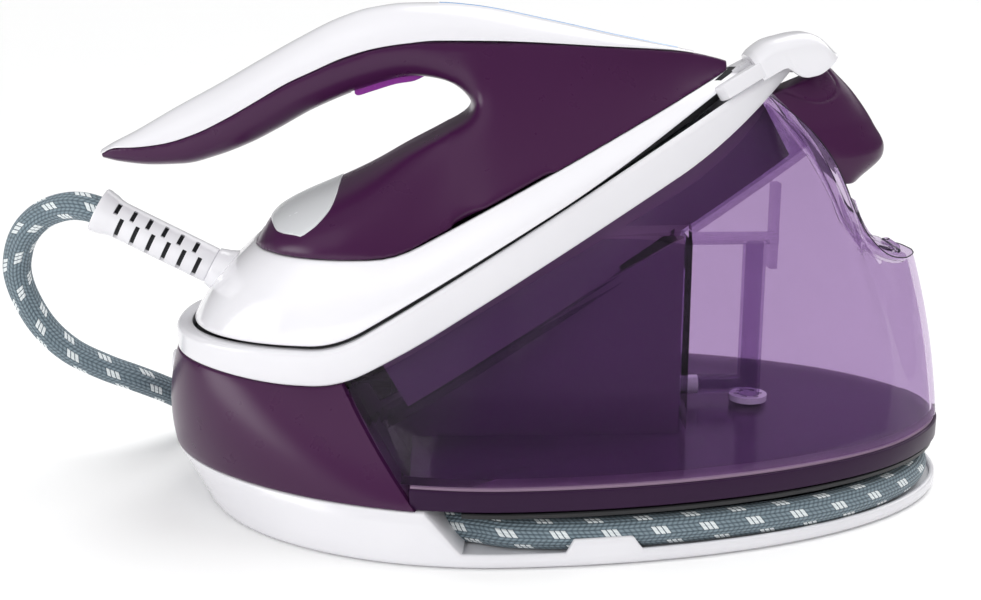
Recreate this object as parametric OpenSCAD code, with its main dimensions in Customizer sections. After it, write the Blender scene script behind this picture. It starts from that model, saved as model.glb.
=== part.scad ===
// Steam generator iron: a base station with a slide-off water tank, and an iron on a hose.
// +Z is up, +X points at the tank end, -X at the heel. The origin is on the ground,
// under the middle of the base.

/* [Base station] */
// Half width of the base at its waist
waist_half = 106; // [104:0.5:108]
// Distance from the widest point back to the heel
heel_len = 150; // [148:0.5:152]
// Distance from the widest point to the tank front
front_len = 212; // [210:0.5:213]
// Height of the waist, where the tray ends and the housing begins
waist_z = 23; // [22:0.5:24]
// Wall thickness of the housings
wall = 3; // [2.5:0.25:3.5]
// Angle of the iron rest
rest_angle = 29.5; // [29:0.25:30]
// Height of the flat heel of the iron rest
heel_z = 81.5; // [81:0.25:82]
// Width of the white band around the iron rest
band = 7; // [6.5:0.25:7.5]

/* [Water tank] */
// Half width of the inner housing that the tank straddles
core_half = 38; // [36:0.5:38]
// Gap between the tank and the housings
tank_gap = 0.5; // [0.4:0.1:0.8]

/* [Iron] */
// Half width of the white skirt
skirt_half = 66.5; // [65:0.5:67]
// Half width of the purple shell where it meets the skirt
shell_half = 56; // [54:0.5:57]
// Thickness of the soleplate
sole_t = 4.5; // [4:0.25:5]

/* [Hose] */
// Outer diameter of the steam hose
hose_d = 13; // [12:0.5:14]
// Diameter of the strain relief
relief_d = 17; // [16:0.5:17.5]

/* [Controls] */
// Radial clearance of a running pin
pin_fit = 0.05; // [0.03:0.01:0.08]
// Diameter of the trigger pin
pin_d = 3; // [2.5:0.1:3.5]
// Diameter of the power button
button_d = 13; // [11:0.5:13]

/* [Hidden] */
$fn = 48;

purple = "#4b2a50";
dark = "#2c1a30";
white = "#ecebee";
black = "#1c1c20";
steel = "#b9bcc2";
brass = "#b8964e";
clear = [0.62, 0.48, 0.72, 0.55];
tubing = "#d8d4cc";
grey = "#6f7d86";

x_mid = -30;             // widest point of the base
x_bend = -99.3;          // where the flat heel of the rest meets its slope
slope = tan(rest_angle);
floor_top = 4.5;         // top of the tray's floor
foot_h = 2;              // the feet are set flush into the tray
gap = 0.3;

// ---------------------------------------------------------------- curves
function flatten(l) = [for (a = l) for (b = a) b];
function ramp(u, r) = u < -r ? 0 : u > r ? u : (u + r) * (u + r) / (4 * r);
function smooth(u) = let (v = max(0, min(1, u))) v * v * (3 - 2 * v);
function mix(a, b, t) = a + (b - a) * t;

// Oval of two half superellipses; a = 0 is the front, 180 the heel
function oval(a, half, rear, front, nr, nf) =
    let (c = cos(a), s = sin(a), n = c < 0 ? nr : nf, r = c < 0 ? rear : front)
    [x_mid + r * sign(c) * pow(abs(c), 2 / n), half * sign(s) * pow(abs(s), 2 / n)];
function waist(a, d = 0) =
    oval(a, waist_half - d, heel_len - d, front_len - d, 1.75, 1.95);
function ground(a, d = 0) =
    oval(a, waist_half + 2.5 - d, heel_len - 14 - d, front_len - d, 2, 2);

// Leaf outline of the iron: [heel x, widest x, nose x, half width, nose powers]
function leaf_y(x, o) = x < o[1]
    ? o[3] * pow(max(0, 1 - pow((o[1] - x) / (o[1] - o[0]), 2.3)), 1 / 2.3)
    : o[3] * pow(max(0, 1 - pow((x - o[1]) / (o[2] - o[1]), o[4])), o[5]);
function leaf(a, o) =
    let (c = cos(a), x = o[1] + (c < 0 ? o[1] - o[0] : o[2] - o[1]) * c)
    [x, sign(sin(a)) * leaf_y(x, o)];
function inset(o, d) = [o[0] + d, o[1], o[2] - 1.6 * d, o[3] - d, o[4], o[5]];
band_o = [-176, -85, 108, 68.5, 1.35, 0.9];
skirt_o = [-168, -85, 83, skirt_half, 1.6, 0.8];
shell_o = [-139, -85, 77, shell_half, 1.6, 0.8];

// Height of the iron rest, and of the lower edge of its white band
function rest_z(x) = heel_z + slope * ramp(x - x_bend, 12);
function band_drop(x) = 15 + 3 * smooth((x + 115) / 60)
    - 4 * smooth((-115 - x) / 60) - 9 * pow(max(0, x - 50) / 44, 2);
function band_low(x) = rest_z(x) - max(3, band_drop(x));

// Rim of the housings, k = 0 at the heel to 1 at the tank front
k_seam = 0.407;
k_nose = 0.73;
seam_x = -97;
nose_x = 94;
// Seam of the tank cap and edge of the filler scoop: x, y, z
cap_edge = [[94, 9, 181.5], [102, 16, 175], [111, 21, 166.5], [120, 22.5, 155], [127, 20, 143],
    [133, 17, 131], [139, 20, 120], [147, 23, 112], [156, 20, 109.5], [163, 11, 109.5], [166, 0, 109]];
function rim_x(k) = mix(seam_x, nose_x, (k - k_seam) / (k_nose - k_seam));
function along(l, t) = let (u = t * (len(l) - 1), i = min(floor(u), len(l) - 2)) mix(l[i], l[i + 1], u - i);
function low_point(p) = [p[0], abs(p[1]), band_low(p[0]) - gap];
function rim(k) =
    k < k_seam ? low_point(leaf(180 - 82.4 * k / k_seam, band_o))
    : k < k_nose ? let (x = rim_x(k)) [x, leaf_y(x, band_o), band_low(x) - gap]
    : along(cap_edge, (k - k_nose) / (1 - k_nose));
// Point of the housings' outer surface, g = 0 at height z0 to 1 at the rim, set in by d
function wall_point(k, g, z0, d = 0) =
    let (a = 180 * (1 - k), b = waist(a), r = rim(k), f0 = (z0 - waist_z) / (r[2] - waist_z),
         f = mix(f0, 1, g), bulge = 12 * f * (1 - f) - d)
    [mix(b[0], r[0], f) + bulge * cos(a), max(0, mix(b[1], r[1], f) + bulge * sin(a)), mix(waist_z, r[2], f)];
function mirrored(p) = [p[0], -p[1], p[2]];

// ---------------------------------------------------------------- solids
function six_volumes(p, f) = [for (t = f) for (i = [1:len(t) - 2])
    cross(p[t[0]], p[t[i]]) * p[t[i + 1]]];
function total(l, i = 0, s = 0) = i == len(l) ? s : total(l, i + 1, s + l[i]);
module closed(p, f) {
    out = total(six_volumes(p, f)) < 0;
    polyhedron(p, out ? f : [for (t = f) [for (i = [len(t) - 1:-1:0]) t[i]]], convexity = 8);
}
// Solid through a row of sections with equally many points
module skin(s, loop = false) {
    n = len(s);
    m = len(s[0]);
    side = [for (i = [0:(loop ? n - 1 : n - 2)]) for (j = [0:m - 1])
        let (a = i * m, b = ((i + 1) % n) * m, c = (j + 1) % m)
        each [[a + j, a + c, b + c], [a + j, b + c, b + j]]];
    caps = loop ? [] : [[for (j = [m - 1:-1:0]) j], [for (j = [0:m - 1]) (n - 1) * m + j]];
    closed(flatten(s), concat(side, caps));
}
// Round tube along a route
function unit(v) = v / norm(v);
function route_dir(r, i) = unit(r[min(i + 1, len(r) - 1)] - r[max(i - 1, 0)]);
function ring_at(c, t, d, sides) =
    let (u = unit(cross(t, abs(t[2]) > 0.9 ? [0, 1, 0] : [0, 0, 1])), v = cross(t, u))
    [for (j = [0:sides - 1]) let (a = 360 * j / sides) c + d / 2 * (cos(a) * u + sin(a) * v)];
function hermite(p, q, u, v, t) =
    (2 * t * t * t - 3 * t * t + 1) * p + (t * t * t - 2 * t * t + t) * u
    + (3 * t * t - 2 * t * t * t) * q + (t * t * t - t * t) * v;
function slope_of(r, i) = (r[min(i + 1, len(r) - 1)] - r[max(i - 1, 0)]) / 2;
function spline(r, n) = concat([for (i = [0:len(r) - 2]) for (j = [0:n - 1])
    hermite(r[i], r[i + 1], slope_of(r, i), slope_of(r, i + 1), j / n)], [r[len(r) - 1]]);
// first and last, where given, are the directions that the end faces look along
module tube(route, d, sides = 8, n = 2, first = undef, last = undef) {
    r = spline(route, n);
    skin([for (i = [0:len(r) - 1]) ring_at(r[i],
        i == 0 && first != undef ? first : i == len(r) - 1 && last != undef ? last : route_dir(r, i),
        d, sides)]);
}
module oval_plate(h, pts) linear_extrude(h) polygon(pts);
// Places children on the sloping rest: x along it, z square to it
module on_slope() translate([x_bend, 0, heel_z]) rotate([0, -rest_angle, 0]) children();
function along_slope(x) = (x - x_bend) / cos(rest_angle);
module slope_leaf(o, x0, n0, n1) {
    xs = [for (i = [0:20]) mix(x0, o[2], 1 - pow(1 - i / 20, 1.5))];
    on_slope() translate([0, 0, n0]) linear_extrude(n1 - n0)
        polygon(concat([for (x = xs) [along_slope(x), -leaf_y(x, o)]],
                       [for (i = [19:-1:0]) [along_slope(xs[i]), leaf_y(xs[i], o)]]));
}
// Flat profile in the XZ plane, w wide about the middle plane
module profile(pts, w) translate([0, w / 2, 0]) rotate([90, 0, 0]) linear_extrude(w) polygon(pts);
module rod(p, d, h, axis) translate(p) rotate(axis) cylinder(d = d, h = h);
module ring(d1, d2, h) difference() {
    cylinder(d = d1, h = h);
    translate([0, 0, -1]) cylinder(d = d2, h = h + 2);
}
x_axis = [0, 90, 0];
y_axis = [-90, 0, 0];

// ---------------------------------------------------------------- base station
// Places of the base screws
screws = [[-78, 30], [-78, -30], [-15, 30], [-15, -30], [38, 30], [38, -30]];
feet = [[-110, 55], [-110, -55], [105, 55], [105, -55]];
channel_near = -46;      // where the hose channel ends on the near side
channel_far = -112;      // and on the far side
socket_at = [-64, -82.5, 11];
socket_turn = [0, 90, -14];
gland_at = [-152, 28, 12];
gland_turn = [0, 90, 155];
full = [0:5:355];
module channel_cut(x0, y0) translate([0, y0, 0]) rotate([90, 0, 0]) linear_extrude(130)
    polygon([[x0, floor_top], [x0 - 20, waist_z + 1], [220, waist_z + 1], [220, floor_top]]);
module base_tray() color(white) {
    difference() {
        skin([[for (a = full) [each ground(a, 3), 0]], [for (a = full) [each ground(a), 3.5]],
            [for (a = full) [each mix(ground(a), waist(a), 0.5), 14]],
            [for (a = full) [each waist(a), waist_z - gap]]]);
        intersection() {
            translate([0, 0, floor_top]) oval_plate(30, [for (a = full) ground(a, 12)]);
            union() {
                translate([-200, -130, 0]) cube([128, 130, 40]);
                translate([-200, 0, 0]) cube([78, 130, 40]);
                translate([-200, -45, 0]) cube([400, 90, 40]);
            }
        }
        translate(socket_at) rotate(socket_turn) translate([0, 0, -1]) cylinder(d = 17.4, h = 40);
        channel_cut(channel_near, 0);
        channel_cut(channel_far, 130);
        for (p = feet) translate([p[0], p[1], -1]) cylinder(d = 20, h = foot_h + 1);
        for (p = screws) translate(p) {
            translate([0, 0, -1]) cylinder(d = 7.4, h = 3.6);
            cylinder(d = 4, h = 9);
        }
        translate(gland_at) rotate(gland_turn) cylinder(d = 12, h = 40);
    }
    // lip that keeps the hose in its channel, and the tab at its middle
    difference() {
        translate([0, 0, floor_top]) linear_extrude(2) difference() {
            polygon([for (a = full) ground(a, 0.5)]);
            polygon([for (a = full) ground(a, 3)]);
        }
        translate([-200, -130, 0]) cube([160, 130, 10]);
        translate([-200, 0, 0]) cube([140, 130, 10]);
    }
    translate([12, -104.3, 0]) rotate([0, 0, 5.9])
        profile([[-16.5, 6.4], [16.5, 6.4], [12, 12], [-12, 12]], 2.4);
}
module rubber_feet() color(black) for (p = feet) translate(p) cylinder(d = 20, h = foot_h);
// Inner wall and roof of the hose channel; the wall steps in behind the hose socket
module hose_channel() color(black) {
    difference() {
        union() {
            translate([0, 0, floor_top]) linear_extrude(waist_z - floor_top - gap) difference() {
                polygon([for (a = full) waist(a, 19)]);
                polygon([for (a = full) waist(a, 21.5)]);
            }
            translate([0, 0, waist_z - 2.5]) linear_extrude(2.5 - gap) difference() {
                polygon([for (a = full) waist(a, 2)]);
                polygon([for (a = full) waist(a, 21)]);
            }
        }
        translate([-200, -130, 0]) cube([176, 130, 30]);
        translate([-200, 0, 0]) cube([200 + channel_far + 0.5, 130, 30]);
    }
    intersection() {
        translate([0, 0, floor_top]) linear_extrude(waist_z - floor_top - gap)
            polygon([[-56, -75.4], [-56, -72.9], [-23.9, -84.3], [-23.9, -86.8]]);
        channel_cut(channel_near + gap, 0);
    }
    translate([0, 0, waist_z - 2.5]) linear_extrude(2.5 - gap)
        polygon([[-53, -75], [-53, -100], [-23.9, -103], [-23.9, -84.3]]);
}
button_z = 58;
eco_z = 41;
knob_at = [-143, 62, 46];
knob_turn = 122;
module lower_housing() color(purple) difference() {
    union() {
        ks = [for (i = [-12:12]) i / 12];
        skin([for (s = ks) let (k = abs(s) * k_seam)
            [for (p = concat([for (g = [0, 0.3, 0.65, 1]) wall_point(k, g, waist_z)],
                             [for (g = [1, 0.65, 0.3, 0]) wall_point(k, g, waist_z, wall)]))
                s < 0 ? mirrored(p) : p]]);
        for (m = [0, 1]) mirror([0, m, 0]) skin([for (dx = [-4, -1])
            [[-66 + dx, 38.6, waist_z], [-66 + dx, 99, waist_z], [-97 + dx, 67, 66], [-97 + dx, 38.6, 66]]]);
    }
    rod([-190, 0, button_z], button_d + 0.6, 30, x_axis);
    rod([-190, 0, eco_z], button_d - 2.4, 30, x_axis);
    translate(knob_at) rotate([0, 0, knob_turn]) rotate(x_axis) translate([0, 0, -30]) cylinder(d = 14, h = 60);
}
roof_low = -38;
roof_o = inset(band_o, band + 1) - [0, 8, 8, 0, 0, 0];
core_x = 52;
function roof_z(x, n) = heel_z + slope * (x - x_bend) + n / cos(rest_angle);
// Box of the inner housing, set in by d at its sides and with its sloping top raised by up
module core_shape(d, up = 0) {
    profile([[-95, waist_z + d], [core_x - d, waist_z + d], [core_x - d, roof_z(core_x - d, roof_low + up)],
        [-63, roof_z(-63, roof_low + up)], [-95, roof_z(-63, roof_low + up)]], 2 * (core_half - d));
}
module inner_housing() color(dark) difference() {
    union() {
        core_shape(0);
        for (p = screws) translate([p[0], p[1], floor_top]) cylinder(d = 9, h = waist_z - floor_top + 1);
        slope_leaf(roof_o, -88, roof_low, -9.3);
    }
    core_shape(2.5, 2.5);
    slope_leaf(inset(roof_o, 2.5), -100, roof_low + 2, 10);
    intersection() {
        slope_leaf(inset(roof_o, 2.5), -100, roof_low - 10, 10);
        translate([-150, -core_half + 2.5, 0]) cube([150 + core_x - 2.5, 2 * core_half - 5, 200]);
    }
    translate([-99, -core_half + 2.5, waist_z + 2.5]) cube([10, 2 * core_half - 5, 200]);
    for (p = screws) translate([p[0], p[1], 0]) cylinder(d = 3, h = waist_z + 1);
    rod([core_x - 5, 0, 44], 20, 10, x_axis);
}
module rest_band() color(white) skin([for (a = [0:6:354]) let (
        o = leaf(a, band_o), m = leaf(a, inset(band_o, 1.5)), i = leaf(a, inset(band_o, band)))
    [[o[0], o[1], rest_z(o[0]) - 2], [o[0], o[1], band_low(o[0])], [i[0], i[1], band_low(i[0])],
     [i[0], i[1], rest_z(i[0])], [m[0], m[1], rest_z(m[0])]]], loop = true);
module rest_plate() color(steel) {
    o = inset(band_o, band + 0.5);
    slope_leaf(o - [0, 5, 5, 0, 0, 0], -92, -9, -6);
    translate([0, 0, heel_z - 9]) linear_extrude(3) polygon([for (i = [-10:10])
        let (x = mix(o[0], -97, pow(abs(i) / 10, 1.4))) [x, sign(i) * leaf_y(x, o)]]);
}
module rest_pads() color("#5a5a62") {
    on_slope() for (s = [60, 130]) for (y = [-1, 1])
        translate([s - 9, y * (s == 60 ? 30 : 14) - 6, -6]) cube([18, 12, 0.7]);
    translate([-150, -20, heel_z - 6]) cube([12, 40, 3.5]);
}

// ---------------------------------------------------------------- inside the base
module boiler() color(steel) difference() {
    union() {
        translate([-52, 0, 34]) linear_extrude(30) union() {
            square([40, 60], center = true);
            square([52, 48], center = true);
            for (x = [-20, 20]) for (y = [-24, 24]) translate([x, y]) circle(d = 12);
        }
        translate([-52, 0, 64]) cylinder(d = 20, h = 4);
    }
    translate([-52, 0, 60]) cylinder(d = 8, h = 10);
}
module boiler_heater() color(brass) translate([-52, 0, 29.5]) rotate_extrude() translate([17, 0]) circle(d = 8);
module boiler_thermostat() color(white) translate([-40, 18, 64]) {
    cylinder(d = 15, h = 6);
    translate([0, 0, 6]) cylinder(d = 8, h = 3);
}
module steam_valve() color(brass) {
    translate([-52, 0, 68]) cylinder(d = 7.9, h = 1);
    translate([-62, -9, 69]) cube([20, 18, 7]);
}
pump_at = [-128, 0, 44];
module pump() color("#3a3f46") translate(pump_at) {
    rod([0, -25, 0], 30, 50, y_axis);
    translate([-15, -14, -15]) cube([30, 28, 31]);
    rod([0, -38, 0], 10, 76, y_axis);
}
module pump_mounts() color(black) translate(pump_at) for (y = [-25.2, 25.2])
    translate([0, y + (y > 0 ? 0 : -8), 0]) rotate(y_axis) difference() {
        union() {
            cylinder(d = 24, h = 8);
            translate([-8, 0, 0]) cube([16, 20.7, 8]);
        }
        translate([0, 0, -1]) cylinder(d = 10, h = 10);
    }
module suction_tube() color(tubing)
    tube([[37, 0, 44], [33, 0, 44], [24, 9, 40], [2, 28, 31], [-40, 30.5, 30], [-84, 31, 31], [-100, 31, 34],
        [-113, 42, 40], [-126, 49, 43], [-128, 44, 44], [-128, 38.8, 44]], 6);
module pressure_tube() color(tubing)
    tube([[-128, -38.8, 44], [-128, -44, 44], [-120, -49, 47], [-108, -40, 54], [-101, -24, 58], [-96, -8, 55],
        [-86, -1, 51], [-78.8, 0, 50]], 6);
module steam_tube() color(tubing)
    tube([[-41.2, -2, 72.5], [-36, -2, 72.5], [-26, -8, 71], [-20, -20, 64], [-19, -29, 50],
        [-21, -30, 38], [-21, -30, 29]], 7);
module circuit_board() {
    color("#2f6b45") translate([-163, -22, 31]) cube([1.6, 44, 36]);
    color(black) for (p = [[-18, 34, 9], [-4, 33, 6], [8, 50, 10], [-16, 52, 8]])
        translate([-161.4, p[0], p[1]]) cube([p[2], 10, 12]);
}
module tank_coupling() color(white) translate([core_x - 14, 0, 44]) rotate(x_axis) {
    difference() {
        union() {
            cylinder(d = 19.8, h = 14);
            translate([0, 0, 8]) cylinder(d = 26, h = 3.4);
        }
        translate([0, 0, 2]) cylinder(d = 12.6, h = 20);
    }
}
module power_gland() color(black) translate(gland_at) rotate(gland_turn) ring(12, 7, 14);
module hose_socket() color(black) translate(socket_at) rotate(socket_turn) ring(17, 9, 8);
module decalc_knob() color(black) translate(knob_at) rotate([0, 0, knob_turn]) rotate(x_axis) {
    translate([0, 0, -14]) cylinder(d = 13.8, h = 15);
    translate([0, 0, 6]) difference() {
        cylinder(d = 24, h = 6);
        for (a = [0:30:330]) rotate([0, 0, a]) translate([13, 0, -1]) cylinder(d = 4, h = 9);
    }
    cylinder(d = 13.8, h = 6);
}
module control_panel() color(black) difference() {
    translate([-172, -10, 33]) cube([8, 20, 35]);
    rod([-180, 0, button_z], button_d - 0.4, 30, x_axis);
    rod([-180, 0, eco_z], button_d - 3.4, 30, x_axis);
}
module power_button() color(white) rod([-180.2, 0, button_z], button_d - 1, 9, x_axis);
module eco_button() color(white) rod([-182, 0, eco_z], button_d - 4, 12, x_axis);
module base_screws() color(steel) for (p = screws) translate([p[0], p[1], 0.2]) {
    cylinder(d = 7, h = 2.4);
    translate([0, 0, 2.4]) cylinder(d = 3, h = 16);
}
// Catch that slides along the rest and holds the iron's nose
lock_side = [[217, 3], [222, 12.5], [229, 14], [237, 13.5], [243, 8], [249, 1], [251, -5], [246, -7], [241, -9],
    [237, 0.4], [217, 0.4]];
module carry_lock() color(white) on_slope() {
    rotate([90, 0, 0]) translate([0, 0, -15]) linear_extrude(30) polygon(lock_side);
    for (m = [0, 1]) mirror([0, m, 0]) translate([0, 0, 2]) linear_extrude(7)
        polygon([[196, 14.6], [199, 19], [219, 15], [219, 7]]);
}
// Tongue of the catch, which sits in the slot in the iron's nose
module lock_tongue() color(white) on_slope() translate([208, -4, 8]) cube([8.9, 8, 2]);

// ---------------------------------------------------------------- water tank
ks_tank = concat([for (i = [0:13]) mix(k_seam + 0.003, k_nose, i / 14)],
    [for (i = [0:10]) mix(k_nose, 1, i / 10)]);
module tank_block(d, z0) {
    n = len(ks_tank);
    m = 2 * n - 1;
    gs = [0, 0.15, 0.4, 0.7, 1];
    pts = [for (g = gs) for (i = [0:m - 1]) let (near = i < n, k = ks_tank[near ? i : m - 1 - i],
        q = wall_point(k, g, z0 + d, d), p = [q[0] + (i == 0 || i == m - 1 ? d : 0), q[1], q[2] - d * g])
        near ? p : mirrored(p)];
    top = (len(gs) - 1) * m;
    side = [for (l = [0:len(gs) - 2]) for (j = [0:m - 1]) let (a = l * m, b = a + m, c = (j + 1) % m)
        each [[a + j, b + c, a + c], [a + j, b + j, b + c]]];
    strips = [for (i = [0:n - 2]) let (far = m - 1 - i) each (i == n - 2
        ? [[top + i, top + far, top + i + 1]]
        : [[top + i, top + far, top + far - 1], [top + i, top + far - 1, top + i + 1]])];
    closed(pts, concat(side, [[for (j = [0:m - 1]) j]], strips));
}
// Space that the inner housing and its roof take out of the tank
module tank_keepout(d) {
    x = core_x + d;
    top = roof_z(x, roof_low + d);
    profile([[-150, waist_z - d], [x, waist_z - d], [x, top], [-150, top]], 2 * (core_half + d));
    slope_leaf(inset(band_o, band + 1 - d), -110, roof_low - d, 60);
}
lid_table = [[134.2, 134], [136.5, 126], [141, 118.5], [147.5, 113.2], [155, 111]];
lid_half = [9, 13, 16, 17, 14];
module lid_shape(up, down, grow) skin([for (i = [0:4])
    let (p = lid_table[i], q = lid_table[min(4, i + 1)], r = lid_table[max(0, i - 1)],
         t = unit(q - r), n = [-t[1], t[0]], w = lid_half[i] + grow,
         e = i == 0 ? -grow : i == 4 ? grow : 0, a = p + t * e + n * up, b = p + t * e - n * down)
    [[a[0], -w, a[1]], [a[0], w, a[1]], [b[0], w, b[1]], [b[0], -w, b[1]]]]);
module water_tank() color(clear) difference() {
    difference() {
        tank_block(0, waist_z + 10);
        tank_keepout(tank_gap);
    }
    difference() {
        tank_block(2.6, waist_z + 10);
        tank_keepout(3);
    }
    lid_shape(12, 0.6, 0.6);
    rod([156, -7.6, 111], 6, 15.2, y_axis);
    rod([core_x - 2, 0, 44], 9, 10, x_axis);
}
module tank_foot() color(dark) difference() {
    translate([0, 0, waist_z + gap]) oval_plate(9.7 - gap, concat(
        [for (k = ks_tank) let (p = wall_point(k, 0, waist_z + 5)) [p[0], p[1]]],
        [for (i = [len(ks_tank) - 2:-1:0]) let (p = wall_point(ks_tank[i], 0, waist_z + 5)) [p[0], -p[1]]]));
    translate([-150, -core_half - tank_gap, 0]) cube([150 + core_x + tank_gap, 2 * (core_half + tank_gap), 50]);
    translate([-140, -120, 0]) cube([70, 240, 50]);
}
// Levels of the cap: seam x, half width, z, and front x, z
cap_levels = [[107, 9, 188.5, 122, 194], [102, 16, 175.6, 134, 183], [111, 21, 167.1, 142, 170],
    [120, 22.5, 155.6, 149, 157.5], [126.5, 20.4, 144.6, 136, 143]];
module tank_cap() color(purple) skin([for (l = cap_levels) [for (i = [-8:8])
    let (a = 90 * i / 8, t = pow(cos(a), 0.8)) [mix(l[0] + 0.5, l[3], t), l[1] * sin(a), mix(l[2], l[4], t)]]]);
module filler_lid() color(clear) difference() {
    union() {
        lid_shape(1.2, 0.4, 0);
        translate([156, 7, 111]) rotate([90, 0, 0]) cylinder(d = 5, h = 14);
    }
    translate([156, 20, 111]) rotate([90, 0, 0]) cylinder(d = 2 + 2 * pin_fit, h = 40);
}
module lid_pin() color(steel) translate([156, 12, 111]) rotate([90, 0, 0]) cylinder(d = 2, h = 24);
module tank_valve() color(white) translate([core_x + 3.1, 0, 44]) rotate([0, -90, 0]) {
    translate([0, 0, 2.8]) cylinder(d = 11, h = 6.2);
    translate([0, 0, -12]) cylinder(d = 8.8, h = 14.8);
}
module valve_seal() color(black) translate([core_x - 3, 0, 44]) rotate(x_axis) ring(12.4, 11, 2);
intake_x = core_x + 40;  // upright of the intake pipe
module intake_pipe() color(clear) {
    difference() {
        union() {
            translate([intake_x, 0, 39.2]) cylinder(d = 11, h = 73.8);
            rod([core_x + 15.2, 0, 44], 9, 25, x_axis);
        }
        translate([intake_x, 0, 38]) cylinder(d = 8, h = 76);
        rod([core_x + 14, 0, 44], 5, 26, x_axis);
    }
    translate([core_x + 4, -5, 113]) cube([46, 10, 4]);
    translate([core_x + 4, -4, 101]) cube([4, 8, 13]);
    translate([core_x + 46.5, -4, 101]) cube([3.5, 8, 40]);
}
module intake_filter() color(white) translate([intake_x, 0, 36.2]) difference() {
    cylinder(d = 18, h = 2.8);
    for (a = [0:60:300]) rotate([0, 0, a]) translate([5.5, 0, -1]) cylinder(d = 3, h = 9);
}

// ---------------------------------------------------------------- iron
sole_top = -0.5;
sole_o = inset(skirt_o, 9);
module soleplate() color(steel) difference() {
    slope_leaf(sole_o, -88, sole_top - sole_t, sole_top);
    on_slope() for (row = [0:6]) for (m = [-1, 1]) let (x = 52 - 19 * row)
        translate([along_slope(x), m * (leaf_y(x, sole_o) - 9), -8]) cylinder(d = 2.6, h = 10);
}
module steam_chamber() color("#8d9097") difference() {
    slope_leaf(inset(skirt_o, 16), -84, sole_top, 15);
    on_slope() translate([150, 0, 10]) cylinder(d = 16, h = 8);
}
module iron_thermostat() color(white) on_slope() translate([150, 0, 10]) {
    cylinder(d = 15.8, h = 8);
    cylinder(d = 9, h = 14);
}
function shell_low(x) = 118 + 0.5 * ramp(x + 74, 10);
function skirt_low(x) = rest_z(x) + 1.3 + 6.5 * smooth((x + 5) / 100);
relief_at = [-160, 0, 104];
relief_axis = unit([-49.6, 0, 26.3]);
relief_angle = [0, -atan2(49.6, 26.3), 0];
module skirt_ring() skin([for (a = [0:3:357]) let (
        lo = leaf(a, skirt_o), hi = leaf(a, shell_o),
        li = leaf(a, inset(skirt_o, 3)), hh = leaf(a, inset(shell_o, 3)),
        zl = skirt_low(lo[0]), zh = shell_low(hi[0]), zi = shell_low(hh[0]),
        m = mix(lo, hi, 0.5) + 3 * [cos(a), sin(a)], mi = mix(li, hh, 0.5) + 3 * [cos(a), sin(a)])
    [[each lo, zl], [each m, mix(zl, zh, 0.55)], [each hi, zh], [each hh, zi],
     [each mi, mix(zl, zi, 0.55)], [each li, zl]]], loop = true);
module iron_skirt() color(white) difference() {
    union() {
        skirt_ring();
        translate([-149, 0, 98.2]) rotate(relief_angle) cylinder(d1 = 27, d2 = 18, h = 12.4);
    }
    translate([-149, 0, 98.2]) rotate(relief_angle) translate([0, 0, -20]) cylinder(d = 9, h = 60);
    on_slope() translate([195, -5, 7]) cube([30, 10, 4]);
}
deck = [[-137, 119], [-132, 127], [-127, 131.5], [-100, 144], [-84, 151.5], [-70, 159], [-56, 166],
    [-46, 171.5], [-41, 174.5], [-38, 179], [-36, 190], [-34, 206.5], [22, 203.6], [50, 201.6], [60, 200.4],
    [70, 198.2], [76, 196.4]];
under = [[-207, 155], [-197, 152.8], [-183, 151.6], [-169, 152], [-155, 155.4], [-140, 161], [-126, 168],
    [-112, 175.7], [-100, 181], [-90, 184.7], [-64, 191], [-52.5, 189.5], [-44, 185], [-38, 178], [-30, 174]];
line = [[-207, 156.5], [-199, 160], [-189, 160.7], [-176, 162.6], [-162, 167], [-148, 173.7], [-135, 181],
    [-121, 189], [-110, 194], [-96, 200], [-82, 204], [-69, 206], [-55, 207.2], [-32, 207], [22, 204], [50, 202],
    [60, 200.8]];
crown = [[-207, 158], [-203, 160.5], [-192, 166], [-173, 176.7], [-153, 187.3], [-134, 198], [-116, 207.8],
    [-99, 216], [-85, 220.4], [-69, 222.5], [-55, 222.7], [-41, 221.7], [-4, 214.8], [24, 208.6], [38, 205.8],
    [52, 202.9], [60, 201.2]];
grip = [[-207, 4], [-200, 9], [-185, 13.5], [-160, 16.5], [-130, 18], [-60, 18.5], [-20, 17.5], [20, 13],
    [45, 7], [60, 2], [76, 1]];
function arch(x, d) =
    let (w0 = max(1, leaf_y(x, shell_o)), w = w0 - min(d, 0.4 * w0), z0 = shell_low(x) + 0.4,
         h = max(1.5, lookup(x, deck) - z0), z1 = z0 + h - min(d, 0.4 * h),
         m = smooth((x + 60) / 26), wt = min(w, max(0.3, lookup(x, grip) - d)),
         y = [for (f = [0, 0.3, 0.6, 0.82, 0.95, 1]) (1 - m) * w * pow(max(0, 1 - pow(f, 2.2)), 1 / 2.2)
             + m * (wt + (w - wt) * pow(1 - f, 1.7))],
         z = [for (f = [0, 0.3, 0.6, 0.82, 0.95, 1]) mix(z0, z1, f)])
    concat([for (i = [0:5]) [x, -y[i] - 0.3, z[i]]], [for (i = [5:-1:0]) [x, y[i] + 0.3, z[i]]]);
body_xs = [-137.5, -134, -130, -125, -112, -100, -84, -70, -58, -50, -44, -40, -37, -34, -22, -4, 14, 30,
    44, 56, 66,
    75];
function reversed(l) = [for (i = [len(l) - 1:-1:0]) l[i]];
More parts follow.
